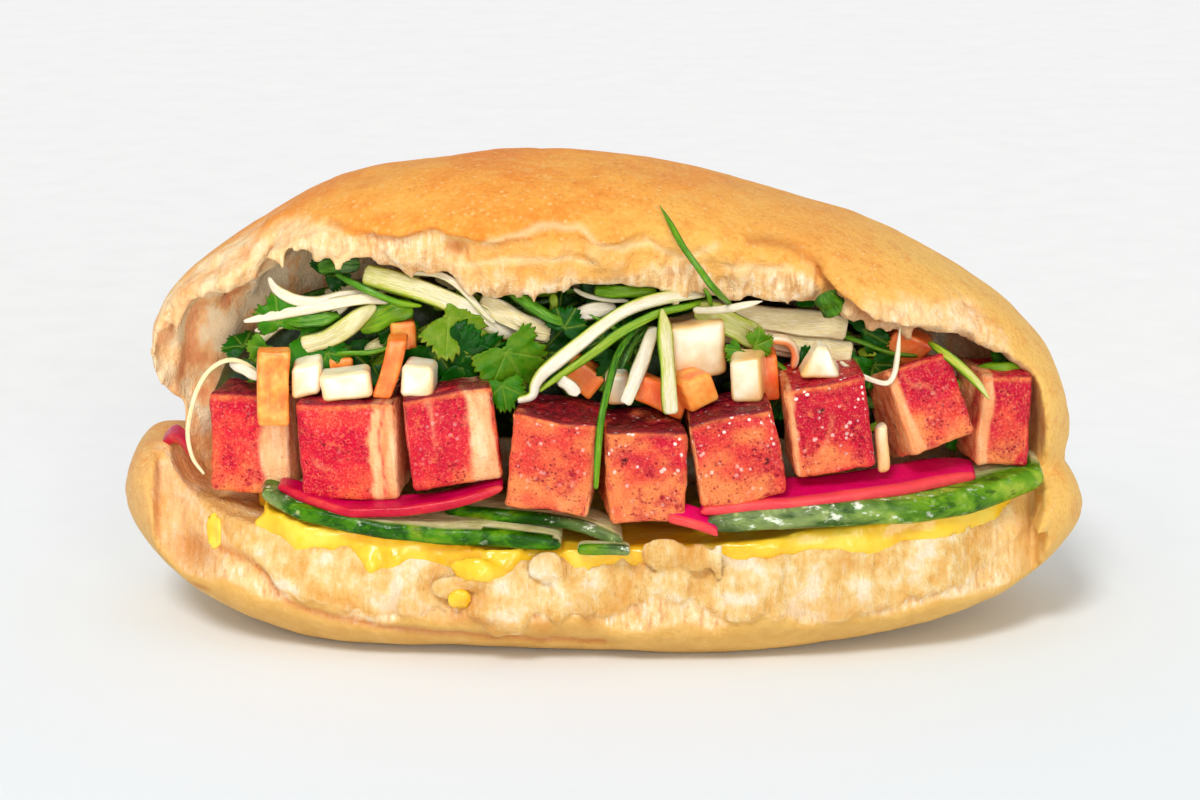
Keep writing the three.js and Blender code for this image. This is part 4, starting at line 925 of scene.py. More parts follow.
for k, (name, row) in enumerate(PORK.items()):
    look = PORK_LOOK[name]
    v, f, u = soft_box(row, 1.05, 34, k + 1, warp=0.6, fine=0.20)
    half = np.array(row[3:6]) / 2
    local = u * half
    wob = 0.10 * noise(local + 31 * k, 5.0, 30) + 0.05 * noise(local + 31 * k, 2.0, 31)
    fat = np.zeros(len(v))
    for c, hw in look["fat"]:
        fat = np.maximum(fat, 1 - smooth01(np.abs(u[:, 0] + wob - c), hw * 0.8, hw * 1.25))
    # thin marbling
    marb = smooth01(np.abs(noise(local * np.array([1, 1, 0.35]) + 17 * k, 5.0, 33)), 0.10, 0.0) * smooth01(noise(local + 9 * k, 7.0, 34), 0.0, 0.5)
    fat = np.maximum(fat, 0.35 * marb)
    orange = np.clip(look["orange"] + 0.6 * noise(local + 11 * k, 7.0, 35) + 0.4 * noise(local + 5 * k, 3.0, 36) + 0.35 * look["side"] * u[:, 0]
                     - 0.34 * u[:, 2] - 0.05, 0, 1)
    ridge = np.exp(-((u[:, 2] + 0.03 * noise(local + 7 * k, 4.0, 39) - 0.88) / 0.06) ** 2) * (np.abs(u[:, 2]) < 0.999) * (0.55 + 0.45 * smooth01(noise(local + 13 * k, 5.0, 41), -0.3, 0.3))
    top = look.get("top", 1.0) * smooth01(u[:, 2] + 0.10 * noise(local + 3 * k, 3.0, 37), 0.90, 1.0)
    edge = smooth01(np.sort(np.abs(u), axis=1)[:, 1] + 0.08 * noise(local, 1.6, 38), 0.86, 0.97) * smooth01(u[:, 2], 0.2, 0.8)
    ob = mesh_object(name + "_seared", v, f, attrs={"fat": fat, "orange": orange, "glaze": top, "edge": edge, "ridge": ridge,
                     "wet": look["wet"] * np.clip(0.55 + 0.5 * u[:, 2], 0, 1), "peach": np.full(len(v), look["peach"])}, colors={"loc": local / 1000 + k * 0.1})
    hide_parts(name)
    pork_objects.append(ob)

mp = Mat("pork_glazed")
lo = mp.attr("loc", True)
fat_a, org_a, top_a, edge_a = (mp.attr(n) for n in ("fat", "orange", "glaze", "edge"))
n1 = mp.noise(lo, 260.0, 4.0, 0.6)
n2 = mp.noise(lo, 900.0, 4.0, 0.65)
n3 = mp.noise(lo, 2200.0, 3.0, 0.7)
lean = mp.ramp(org_a, [(0.0, srgb(198, 2, 46)), (0.30, srgb(212, 26, 50)), (0.6, srgb(228, 74, 54)), (1.0, srgb(242, 134, 74))])
lean = mp.mix(mp.fac(n1, 0.46, 0.66, 0.0, 0.65), lean, srgb(184, 0, 46))
lean = mp.mix(mp.fac(n2, 0.52, 0.72, 0.0, 0.45), lean, srgb(248, 142, 88))
lean = mp.mix(mp.fac(n3, 0.54, 0.68, 0.0, 0.42), lean, srgb(252, 166, 122))
lean = mp.mix(mp.fac(n3, 0.47, 0.33, 0.0, 0.60), lean, srgb(160, 2, 40))
spot = mp.voronoi(lo, 1050.0)
spot_m = mp.fac(spot, 0.16, 0.32, 1.0, 0.0)
lean = mp.mix(mp.math("MULTIPLY", spot_m, mp.fac(n1, 0.38, 0.58, 0.15, 0.9)), lean, srgb(140, 6, 30))
spot2 = mp.fac(mp.voronoi(lo, 430.0), 0.14, 0.30, 1.0, 0.0)
lean = mp.mix(mp.math("MULTIPLY", spot2, mp.fac(n1, 0.46, 0.60, 0.0, 0.75)), lean, srgb(160, 4, 34))
fat_n = mp.noise(mp.scaled(lo, (1.0, 1.0, 0.22)), 460.0, 3.0, 0.6)
fatc = mp.ramp(fat_n, [(0.3, srgb(226, 158, 104)), (0.5, srgb(238, 190, 138)), (0.75, srgb(250, 222, 182))])
fatc = mp.mix(mp.math("MULTIPLY", mp.attr("peach"), 0.85), fatc, mp.ramp(fat_n, [(0.3, srgb(244, 120, 62)), (0.55, srgb(250, 156, 92)), (0.8, srgb(252, 186, 130))]))
fatc = mp.mix(mp.math("MULTIPLY", spot_m, 0.16), fatc, srgb(222, 110, 80))
colr = mp.mix(fat_a, lean, fatc)
dark = mp.ramp(n2, [(0.3, srgb(44, 4, 14)), (0.5, srgb(100, 6, 28)), (0.65, srgb(146, 16, 34)), (0.85, srgb(190, 66, 44))])
colr = mp.mix(mp.math("MULTIPLY", top_a, 0.93), colr, dark)
colr = mp.mix(mp.math("MULTIPLY", edge_a, mp.fac(n1, 0.45, 0.6, 0.1, 0.75)), colr, srgb(128, 22, 34))
colr = mp.mix(mp.math("MULTIPLY", mp.attr("ridge"), mp.fac(n1, 0.36, 0.56, 0.45, 0.95)), colr, mp.ramp(n2, [(0.35, srgb(214, 84, 42)), (0.6, srgb(244, 148, 78))]))
burn = mp.math("MULTIPLY", mp.fac(mp.voronoi(lo, 130.0), 0.07, 0.14, 1.0, 0.0), mp.fac(n1, 0.50, 0.56))
colr = mp.mix(burn, colr, srgb(34, 10, 12))
# painted highlights: white specks for the glints of the glaze, fewer on the tops
glint_top = mp.math("SUBTRACT", 1.0, mp.math("MULTIPLY", top_a, 0.75))
glint = mp.math("MULTIPLY", mp.fac(mp.voronoi(lo, 640.0), 0.20, 0.27, 1.0, 0.0), mp.math("MULTIPLY", mp.attr("wet"), mp.fac(mp.noise(lo, 210.0, 2.0, 0.5), 0.45, 0.57)))
colr = mp.mix(mp.math("MULTIPLY", glint, glint_top), colr, srgb(255, 236, 226))
mp.set("Base Color", colr)
mp.set("Roughness", mp.fac(n2, 0.3, 0.7, 0.18, 0.42))
mp.set("Specular IOR Level", 0.16)
mp.set("Coat Weight", 0.03)
mp.set("Coat Roughness", 0.12)
mp.set("Subsurface Weight", 0.18)
mp.set("Subsurface Radius", (0.006, 0.002, 0.0012))
mp.set("Subsurface Scale", 0.4)
hp = mp.math("ADD", mp.math("MULTIPLY", n2, 0.9), mp.math("MULTIPLY", n1, 0.7))
hp = mp.math("ADD", hp, mp.math("MULTIPLY", spot_m, -0.25))
mp.set("Normal", mp.bump(hp, 0.55, 0.0008))
for ob in pork_objects:
    give(ob, mp)


# dice
def wedge(out, half):
    p = out.copy()
    t = (p[:, 2] / half[2] + 1) / 2
    p[:, 0] = p[:, 0] * (1 - 0.78 * t) + 0.12 * half[0] * t
    return p


def slant(k):
    def f(out, half):
        p = out.copy()
        p[:, 0] += k * p[:, 2]
        p[:, 2] += 0.12 * p[:, 0]
        return p
    return f


DICE_SHAPE = {"daikon_7": wedge, "carrot_3": slant(0.12), "carrot_9": slant(0.25), "daikon_3": slant(-0.15), "daikon_1": slant(0.1), "carrot_7": slant(-0.2), "daikon_8": slant(0.2)}
carrots, daikons = [], []
for k, (name, row) in enumerate(list(CARROT.items()) + list(DAIKON.items())):
    isc = name.startswith("carrot")
    v, f, u = soft_box(row, 0.75 if isc else 1.15, 16, 40 + k, warp=0.55, fine=0.09, shape=DICE_SHAPE.get(name))
    half = np.array(row[3:6]) / 2
    rim = smooth01(np.sort(np.abs(u), axis=1)[:, 1], 0.55, 1.0)
    # low: golden tint for the daikon, higher towards the bottom of each piece, partly the pickle's own yellow and
    # partly painted shade
    ob = mesh_object(name + "_cut", v, f, attrs={"rim": rim, "low": np.clip(-u[:, 2] * 0.8 + 0.5 * u[:, 0] * (k % 3 - 1) + 0.35 * noise(u * half + 5 * k, 4.0, 54) + (0.9 if name == "daikon_8" else 0.0) + (0.8 * smooth01(np.abs(u[:, 0]), 0.78, 1.0) + 1.3 * smooth01(u[:, 2], 0.88, 1.0) + 0.3 if name in ("daikon_5", "daikon_6") else 0.0) * (1 - 0.6 * smooth01(-u[:, 1], 0.9, 1.0) * smooth01(1 - np.abs(u[:, 0]), 0.1, 0.3)), 0, 1), "tone": np.full(len(v), (k * 0.37) % 1.0)}, colors={"loc": (u * half) / 1000 + k * 0.1})
    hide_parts(name)
    (carrots if isc else daikons).append(ob)

mc = Mat("carrot_cut")
lo = mc.attr("loc", True)
n1 = mc.noise(lo, 320.0, 3.0, 0.55)
n2 = mc.noise(mc.scaled(lo, (1.0, 1.0, 0.3)), 1300.0, 3.0, 0.6)
cc = mc.ramp(n1, [(0.3, srgb(250, 104, 34)), (0.5, srgb(254, 146, 52)), (0.7, srgb(255, 184, 84))])
cc = mc.mix(mc.fac(mc.attr("tone"), 0.0, 1.0, 0.0, 0.5), cc, srgb(250, 84, 34))
cc = mc.mix(mc.fac(n2, 0.5, 0.75, 0.0, 0.25), cc, srgb(255, 206, 140))
mc.set("Base Color", cc)
mc.set("Roughness", 0.34)
mc.set("Coat Weight", 0.06)
mc.set("Coat Roughness", 0.15)
mc.set("Subsurface Weight", 0.25)
mc.set("Subsurface Radius", (0.004, 0.002, 0.001))
mc.set("Subsurface Scale", 0.4)
mc.set("Normal", mc.bump(mc.math("ADD", n2, n1), 0.25, 0.0005))
md = Mat("daikon_cut")
lo = md.attr("loc", True)
n1 = md.noise(lo, 240.0, 3.0, 0.5)
dc_ = md.ramp(n1, [(0.3, srgb(238, 222, 180)), (0.5, srgb(250, 242, 214)), (0.7, srgb(255, 252, 240))])
# golden tint, mostly on the lower side: partly the pickle's own yellow, partly painted shade
dc_ = md.mix(md.math("MULTIPLY", md.attr("low"), 0.75), dc_, md.ramp(n1, [(0.35, srgb(228, 146, 50)), (0.65, srgb(246, 192, 92))]))
dc_ = md.mix(md.math("MULTIPLY", md.attr("rim"), md.fac(n1, 0.35, 0.6, 0.25, 0.7)), dc_, srgb(236, 184, 92))
md.set("Base Color", dc_)
md.set("Roughness", 0.28)
md.set("Coat Weight", 0.25)
md.set("Coat Roughness", 0.12)
md.set("Subsurface Weight", 0.45)
md.set("Subsurface Radius", (0.005, 0.004, 0.003))
md.set("Subsurface Scale", 0.5)
md.set("Normal", md.bump(md.math("ADD", n1, md.noise(lo, 1500.0, 3.0, 0.6)), 0.2, 0.0004))
for ob in carrots:
    give(ob, mc)
for ob in daikons:
    give(ob, md)


# ------------------------------------------------------------------ slices
def spline(points, n):
    """Catmull-Rom through points, n samples spread evenly by length."""
    p = np.asarray(points, float)
    e = np.vstack([2 * p[0] - p[1], p, 2 * p[-1] - p[-2]])
    out = []
    for i in range(1, len(e) - 2):
        a, b, c, d = e[i - 1], e[i], e[i + 1], e[i + 2]
        for t in np.linspace(0, 1, 24, endpoint=False):
            out.append(b + 0.5 * t * (c - a + t * (2 * a - 5 * b + 4 * c - d + t * (3 * (b - c) + d - a))))
    out.append(p[-1])
    out = np.array(out)
    s = np.concatenate([[0], np.cumsum(np.linalg.norm(np.diff(out, axis=0), axis=1))])
    t = np.linspace(0, s[-1], n)
    return np.stack([np.interp(t, s, out[:, k]) for k in range(out.shape[1])], 1), t


def slice_mesh(spec, n, seed, wave=0.3, power=3.2, taper=0.35):
    line, t = spline(spec["line"], n)
    m = 36
    tilt = math.radians(spec["tilt"])
    verts, skin, ucoord, vcoord = [], [], [], []
    for i, q in enumerate(line):
        u = i / (n - 1)
        end = abs(2 * u - 1) ** 6
        capped = math.sqrt(max(0.0, 1 - abs(2 * u - 1) ** 30))
        width = spec["width"] * (1 - taper * end)
        th = (spec["thick"] + spec.get("swell", 0.0) * u) * (1 - 0.25 * end) * (0.35 + 0.65 * capped)
        for j in range(m):
            a = 2 * math.pi * j / m
            cx, sx = math.cos(a), math.sin(a)
            yy = math.copysign(abs(cx) ** (2 / 5.0), cx)
            zz = math.copysign(abs(sx) ** (2 / power), sx)
            # rounded outer skin at the front
            y = width / 2 + yy * width / 2
            z = zz * th / 2
            if y < th * 0.5:
                r = th / 2
                y = r * 0.55 - math.sqrt(max(0.0, 1 - (z / r) ** 2)) * r * 0.55 + max(0.0, y) * 0.15
            verts.append((q[0], q[1] + y * math.cos(tilt) - z * math.sin(tilt), q[2] + y * math.sin(tilt) + z * math.cos(tilt)))
            skin.append(1.0 if y < spec.get("skin", 0.62) * th or u < spec.get("green_end", -1.0) else 0.0)
            ucoord.append(t[i])
            vcoord.append(y)
    v = np.array(verts)
    q = v + seed * 13
    v = v + np.stack([noise(q, 7.0, 50), noise(q, 6.0, 51), noise(q, 6.0, 52)], 1) * wave
    faces = [tuple(f[::-1]) for f in grid_faces(n, m, wrap_v=True)]
    c0 = len(v)
    v = np.vstack([v, v[:m].mean(0), v[-m:].mean(0)])
    for j in range(m):
        faces.append((c0, j, (j + 1) % m))
        faces.append((c0 + 1, (n - 1) * m + (j + 1) % m, (n - 1) * m + j))
    skin += [skin[0], skin[-1]]
    ucoord += [0, t[-1]]
    vcoord += [spec["width"] / 2] * 2
    return v, faces, np.array(skin), np.array(ucoord), np.array(vcoord)


cucs = []
CUCUMBER["cucumber_3"].update(skin=1.45, swell=1.6)
CUCUMBER["cucumber_1"].update(green_end=0.10)
for k, (name, spec) in enumerate(CUCUMBER.items()):
    v, f, skin, uc, vc = slice_mesh(spec, 110 if spec["width"] > 8 else 40, k, wave=0.35)
    ob = mesh_object(name + "_slice", v, f, attrs={"skin": skin, "tone": np.full(len(v), k * 0.3), "across": vc / max(spec["width"], 1)}, colors={"loc": v / 1000})
    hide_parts(name)
    cucs.append(ob)
pick = []
for k, (name, spec) in enumerate(PICKLE.items()):
    v, f, skin, uc, vc = slice_mesh(spec, 90 if spec["width"] > 7 else 36, 20 + k, wave=0.3)
    ob = mesh_object(name + "_slice", v, f, attrs={"skin": skin, "across": vc / max(spec["width"], 1)}, colors={"loc": v / 1000})
    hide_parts(name)
    pick.append(ob)

mq = Mat("cucumber_wet")
lo = mq.attr("loc", True)
sk = mq.attr("skin")
n1 = mq.noise(mq.scaled(lo, (0.7, 1.0, 1.0)), 150.0, 5.0, 0.62, 0.5)
n3 = mq.noise(mq.scaled(lo, (0.5, 1.0, 1.0)), 60.0, 2.0, 0.5)
n2 = mq.noise(mq.scaled(lo, (0.35, 1.0, 1.0)), 620.0, 4.0, 0.6)
skc = mq.ramp(n1, [(0.30, srgb(8, 34, 0)), (0.45, srgb(30, 84, 0)), (0.56, srgb(72, 132, 2)), (0.70, srgb(136, 158, 30))])
skc = mq.mix(mq.fac(n2, 0.5, 0.7, 0.0, 0.6), skc, srgb(20, 62, 10))
# pale grey-green patches: partly the skin's own colour, partly painted glare
skc = mq.mix(mq.fac(n3, 0.52, 0.64, 0.0, 0.55), skc, mq.ramp(n1, [(0.35, srgb(96, 112, 60)), (0.6, srgb(168, 172, 120)), (0.7, srgb(220, 220, 190))]))
skc = mq.mix(mq.fac(mq.voronoi(lo, 240.0), 0.08, 0.18, 0.6, 0.0), skc, srgb(196, 204, 130))
sxm = mq.add("ShaderNodeSeparateXYZ")
mq.link(lo, sxm.inputs[0])
bright = mq.fac(mq.math("ADD", sxm.outputs[0], mq.math("MULTIPLY", mq.math("SUBTRACT", n3, 0.5), 0.06)), 0.050, 0.072)
skc = mq.mix(mq.math("MULTIPLY", bright, 0.7), skc, mq.ramp(n1, [(0.32, srgb(44, 104, 8)), (0.48, srgb(112, 160, 26)), (0.62, srgb(170, 190, 60))]))
skc = mq.mix(mq.fac(mq.noise(mq.scaled(lo, (0.35, 1.0, 1.3)), 330.0, 4.0, 0.6), 0.53, 0.66, 0.0, 0.7), skc, srgb(18, 62, 6))
fl = mq.ramp(mq.noise(lo, 300.0, 3.0, 0.5), [(0.3, srgb(196, 196, 120)), (0.6, srgb(226, 220, 164)), (0.8, srgb(240, 234, 196))])
# painted highlights: white wet glints in patches
gl = mq.math("MULTIPLY", mq.fac(mq.noise(mq.scaled(lo, (0.6, 1.0, 1.1)), 430.0, 5.0, 0.7), 0.56, 0.66), mq.fac(n3, 0.46, 0.58, 0.0, 1.0))
skc = mq.mix(mq.math("MULTIPLY", gl, 0.85), skc, srgb(240, 246, 224))
mq.set("Base Color", mq.mix(sk, fl, skc))
mq.set("Roughness", mq.fac(n2, 0.3, 0.7, 0.12, 0.32))
mq.set("Specular IOR Level", 0.15)
mq.set("Coat Weight", 0.04)
mq.set("Coat Roughness", 0.08)
mq.set("Subsurface Weight", 0.1)
mq.set("Subsurface Radius", (0.002, 0.003, 0.001))
mq.set("Subsurface Scale", 0.4)
mq.set("Normal", mq.bump(mq.math("ADD", mq.math("MULTIPLY", n1, 1.3), mq.math("MULTIPLY", n2, 0.5)), 0.6, 0.0010))
for ob in cucs:
    give(ob, mq)
mk = Mat("pickle_wet")
lo = mk.attr("loc", True)
sk = mk.attr("skin")
n1 = mk.noise(mk.scaled(lo, (0.4, 1.0, 1.0)), 320.0, 3.0, 0.55)
top_c = mk.ramp(n1, [(0.3, srgb(176, 0, 60)), (0.55, srgb(208, 0, 84)), (0.8, srgb(228, 24, 98))])
edge_c2 = mk.ramp(n1, [(0.3, srgb(190, 10, 48)), (0.5, srgb(214, 34, 54)), (0.75, srgb(236, 96, 66))])
sxp = mk.add("ShaderNodeSeparateXYZ")
mk.link(lo, sxp.inputs[0])
pc = mk.mix(sk, top_c, edge_c2)
pc = mk.mix(mk.math("MULTIPLY", mk.fac(sxp.outputs[0], -0.010, 0.025), 0.45), pc, mk.mix(sk, srgb(240, 16, 112), srgb(252, 96, 96)))
pc = mk.mix(mk.math("MULTIPLY", mk.fac(sxp.outputs[0], 0.0, -0.015), 0.3), pc, srgb(168, 0, 46))
mk.set("Base Color", pc)
mk.set("Roughness", 0.25)
mk.set("Coat Weight", 0.05)
mk.set("Specular IOR Level", 0.2)
mk.set("Coat Roughness", 0.1)
mk.set("Subsurface Weight", 0.25)
mk.set("Subsurface Radius", (0.004, 0.001, 0.002))
mk.set("Subsurface Scale", 0.4)
mk.set("Normal", mk.bump(mk.math("ADD", n1, mk.noise(lo, 900.0, 3.0, 0.6)), 0.3, 0.0006))
for ob in pick:
    give(ob, mk)

# carrot curl
C = dict(centre=(35.2, -20.5, 59.8), radius=4.1, wide=4.0, thick=1.7, a0=-20, a1=215)
n, m = 48, 14
verts, rimv = [], []
for i in range(n):
    u = i / (n - 1)
    a = math.radians(C["a0"] + u * (C["a1"] - C["a0"]))
    end = math.sqrt(max(0.02, 1 - abs(2 * u - 1) ** 8))
    for j in range(m):
        b = 2 * math.pi * j / m
        cy = math.copysign(abs(math.cos(b)) ** 0.5, math.cos(b)) * C["wide"] / 2 * (0.6 + 0.4 * end)
        cr = math.copysign(abs(math.sin(b)) ** 0.6, math.sin(b)) * C["thick"] / 2 * end
        r = C["radius"] * (1 - 0.12 * u) + cr
        verts.append((C["centre"][0] - r * math.cos(a), C["centre"][1] + cy + 0.6 * math.sin(3 * a), C["centre"][2] + r * math.sin(a)))
        rimv.append(1.0 if cr > 0.2 * C["thick"] / 2 else 0.0)
verts = np.array(verts)
fcs = grid_faces(n, m, wrap_v=True)
fcs = [tuple(f) for f in fcs]
c0 = len(verts)
verts = np.vstack([verts, verts[:m].mean(0), verts[-m:].mean(0)])
for j in range(m):
    fcs.append((c0, (j + 1) % m, j))
    fcs.append((c0 + 1, (n - 1) * m + j, (n - 1) * m + (j + 1) % m))
curl = mesh_object("carrot_curl_peel", verts, fcs, attrs={"tone": np.full(len(verts), 0.2), "pale": np.array(rimv + [0, 0])}, colors={"loc": verts / 1000})
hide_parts("carrot_curl")
mcu = Mat("carrot_peel")
lo = mcu.attr("loc", True)
n1 = mcu.noise(lo, 400.0, 3.0, 0.55)
mcu.set("Base Color", mcu.mix(mcu.attr("pale"), mcu.ramp(n1, [(0.3, srgb(248, 126, 70)), (0.7, srgb(253, 168, 100))]), mcu.ramp(n1, [(0.3, srgb(244, 208, 160)), (0.7, srgb(255, 238, 212))])))
mcu.set("Roughness", 0.3)
mcu.set("Subsurface Weight", 0.25)
mcu.set("Subsurface Radius", (0.004, 0.002, 0.001))
mcu.set("Subsurface Scale", 0.4)
mcu.set("Normal", mcu.bump(n1, 0.25, 0.0004))
give(curl, mcu)
# ------------------------------------------------------------------ mayonnaise: a layer on the floor that runs over the torn rim
MAYO_LOW = np.array([(-78, 34), (-74.3, 31.7), (-71.0, 29.4), (-68.3, 26.9), (-65.7, 26.4), (-62.6, 22.8), (-59.7, 23.3), (-57.7, 27.5), (-54.2, 27.3), (-51.7, 24.3),
                     (-47.5, 19.0), (-42.0, 20.2), (-38.9, 22.6), (-34.9, 21.5), (-27.9, 19.3), (-22.9, 18.6), (-18.5, 20.2), (-15.9, 23.5),
                     (-12.4, 26.5), (-8.9, 26.0), (-5.8, 22.0), (2.2, 21.5), (5.6, 26.1), (9.2, 29.2), (17.2, 29.2), (23.7, 28.2), (25.2, 23.6),
                     (37.3, 23.2), (47.3, 23.7), (53.8, 22.0), (57.5, 22.6), (60.6, 24.6), (70.0, 24.7), (80.8, 26.0), (88.9, 27.5), (93.5, 30)])
MAYO_TOP = [0.6, 1.4, 4.2, 4.0, 2.6, 2.2, 2.8, 2.8, 2.6, 1.6, 0.6]
sm = np.clip((X1 + 0.5) / 87.5, -1, 1)
layer_top = floor_c + 1.3 + along(MAYO_TOP, share(sm)) * 0.9
low = np.interp(X1, MAYO_LOW[:, 0], MAYO_LOW[:, 1]) - 0.8
mb_band = (np.abs(field) < 5.0) & (Z1 < 48) & (Z1 > 6)
ix, iy, iz = np.nonzero(mb_band)
P = np.stack([gx[ix], gy[iy], gz[iz]], 1).astype(np.float32)
db = field[mb_band]
Lm = np.broadcast_to(layer_top, field.shape)[mb_band]
lowp = np.broadcast_to(low, field.shape)[mb_band]
wob = 0.7 * noise(P, 5.0, 60) + 0.4 * noise(P, 2.4, 61)
thick = 1.15 + 0.45 * noise(P, 6.0, 62)
coat = smax(db - thick * smooth01(P[:, 2] - lowp + wob, -0.3, 2.4) * 1.0 + 0.15, lowp - P[:, 2] + wob, 0.8)
pool = smax(smax(P[:, 2] - Lm - 0.4 * noise(P, 6.0, 63), -db - 1.0, 0.3), P[:, 1] - 8.0, 2.0)
pool = smax(pool, d_cut[mb_band].astype(np.float32) - 0.4, 0.8)
pool = smax(pool, d_hull[mb_band].astype(np.float32) - 0.3, 0.8)
pool = smax(pool, np.broadcast_to(rim_y, field.shape)[mb_band] - P[:, 1] - 0.4, 0.8)
coat = smax(coat, P[:, 1] + 20.0, 2.0)
coat = smax(coat, P[:, 0] - 82, 1.5)
m_d = smin(coat, pool, 1.2)
m_d = smax(m_d, -db - 1.2, 0.3)
m_d = smax(m_d, np.minimum(-70.5 - P[:, 0] + 1.8 * noise(P, 3.4, 64), -6 - P[:, 1]), 1.0)
m_d = smax(m_d, -80.0 - P[:, 0], 1.0)
m_d = smax(m_d, P[:, 0] - 88, 1.5)
m_d = smax(m_d, -89 - P[:, 0], 1.5)
for (cx, cz, rx, rz, th_) in [(-29.1, 14.6, 2.4, 2.5, 0.95), (-79.9, 24.2, 1.9, 3.9, 0.85)]:
    rr = np.sqrt(((P[:, 0] - cx) / rx) ** 2 + ((P[:, 2] - cz) / rz) ** 2)
    blob = smax((rr - 1) * rx, np.abs(db) - th_, 0.3)
    blob = np.where(P[:, 1] < -10, blob, 5.0)
    m_d = smin(m_d, blob, 0.4)
m_d = smax(m_d, -db - 1.2, 0.3)
mf_ = np.full(field.shape, 5.0, np.float32)
mf_[mb_band] = m_d
mp_, mfaces = main_body(*surface(mf_), least=90)
mayo = mesh_object("mayonnaise_layer", mp_, mfaces, colors={"loc": mp_ / 1000})
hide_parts("mayonnaise")
mm = Mat("mayonnaise_yellow")
lo = mm.attr("loc", True)
n1 = mm.noise(lo, 160.0, 3.0, 0.5)
mm.set("Base Color", mm.ramp(n1, [(0.3, srgb(242, 176, 24)), (0.5, srgb(252, 200, 40)), (0.75, srgb(255, 218, 84))]))
mm.set("Roughness", 0.26)
mm.set("Coat Weight", 0.12)
mm.set("Coat Roughness", 0.1)
mm.set("Subsurface Weight", 0.25)
mm.set("Subsurface Radius", (0.004, 0.003, 0.001))
mm.set("Subsurface Scale", 0.5)
mm.set("Normal", mm.bump(mm.math("ADD", n1, mm.math("MULTIPLY", mm.noise(lo, 700.0, 2.0, 0.5), 0.4)), 0.35, 0.0010))
give(mayo, mm)
print("mayo", len(mp_))
# ------------------------------------------------------------------ salad: core, scallion strips, coriander leaves
SALAD = dict(l=-84, r=85, front=[-14, -14, -15, -17, -17, -17, -17, -17, -15, -12, -10], top=[56, 64, 71, 75, 73.5, 71.5, 70.5, 65, 59.5, 53, 42], foot=36)
VIEW = np.array([0.0, -math.cos(ELEV), math.sin(ELEV)])
salad_pieces = []

# core a few millimetres inside the heap: a dark green leafy mass whose near-black colour paints the shade deep in the
# gaps of the salad
n, m = 150, 72
verts = []
for i in range(n):
    s = -1 + 2 * (i + 0.5) / n
    x = (SALAD["l"] + SALAD["r"]) / 2 + s * (SALAD["r"] - SALAD["l"]) / 2 * 0.975
    t = float(share(s))
    k = float(plan(s, 3))
    top = float(along(SALAD["top"], t)) - 3.0
    foot = SALAD["foot"] + 2.0
    front = float(along(SALAD["front"], t)) + 3.6
    mid = (top + foot) / 2
    for j in range(m):
        a = 2 * math.pi * j / m
        cy = (1 + math.copysign(abs(math.cos(a)) ** 0.7, -math.cos(a))) / 2
        verts.append((x, front + (16 * k - front) * (1 - cy), mid + (top - foot) / 2 * k * math.copysign(abs(math.sin(a)) ** 0.7, math.sin(a))))
verts = np.array(verts)
c = verts.reshape(n, m, 3)
centre = c.mean(1, keepdims=True)
dirn = (c - centre).reshape(-1, 3)
ln = np.linalg.norm(dirn, axis=1, keepdims=True)
bumpy = 1.1 * noise(verts, 5.5, 70) + 0.7 * noise(verts, 2.6, 71) + 0.35 * noise(verts, 1.3, 72)
verts = verts + dirn / np.maximum(ln, 0.5) * bumpy[:, None]
fcs = [tuple(f) for f in grid_faces(n, m, wrap_v=True)]
c0 = len(verts)
verts = np.vstack([verts, verts[:m].mean(0), verts[-m:].mean(0)])
for j in range(m):
    fcs.append((c0, (j + 1) % m, j))
    fcs.append((c0 + 1, (n - 1) * m + j, (n - 1) * m + (j + 1) % m))
core = mesh_object("salad_core", verts, fcs, colors={"loc": verts / 1000})
mcore = Mat("salad_core_leafy")
lo = mcore.attr("loc", True)
n1 = mcore.noise(lo, 380.0, 4.0, 0.6)
n2 = mcore.noise(lo, 120.0, 3.0, 0.6)
# near-black greens: painted shade of the leaves deep in the heap
mcore.set("Base Color", mcore.mix(mcore.fac(n2, 0.45, 0.6), mcore.ramp(n1, [(0.3, srgb(6, 20, 4)), (0.6, srgb(14, 48, 8)), (0.8, srgb(40, 84, 14))]),
                                  mcore.ramp(n1, [(0.3, srgb(12, 36, 6)), (0.6, srgb(26, 70, 12)), (0.8, srgb(90, 120, 40))])))
mcore.set("Roughness", 0.5)
mcore.set("Normal", mcore.bump(mcore.math("ADD", n1, n2), 0.6, 0.0012))
give(core, mcore)
salad_pieces.append(core)


def join(parts):
    """(verts, faces, {attr: values}) pieces to one set."""
    V, F, A = [], [], {}
    base = 0
    for v, f, at in parts:
        V.append(v)
        F += [tuple(i + base for i in q) for q in f]
        base += len(v)
        for k_, val in at.items():
            A.setdefault(k_, []).append(val)
    return np.vstack(V), F, {k_: np.concatenate(v_) for k_, v_ in A.items()}


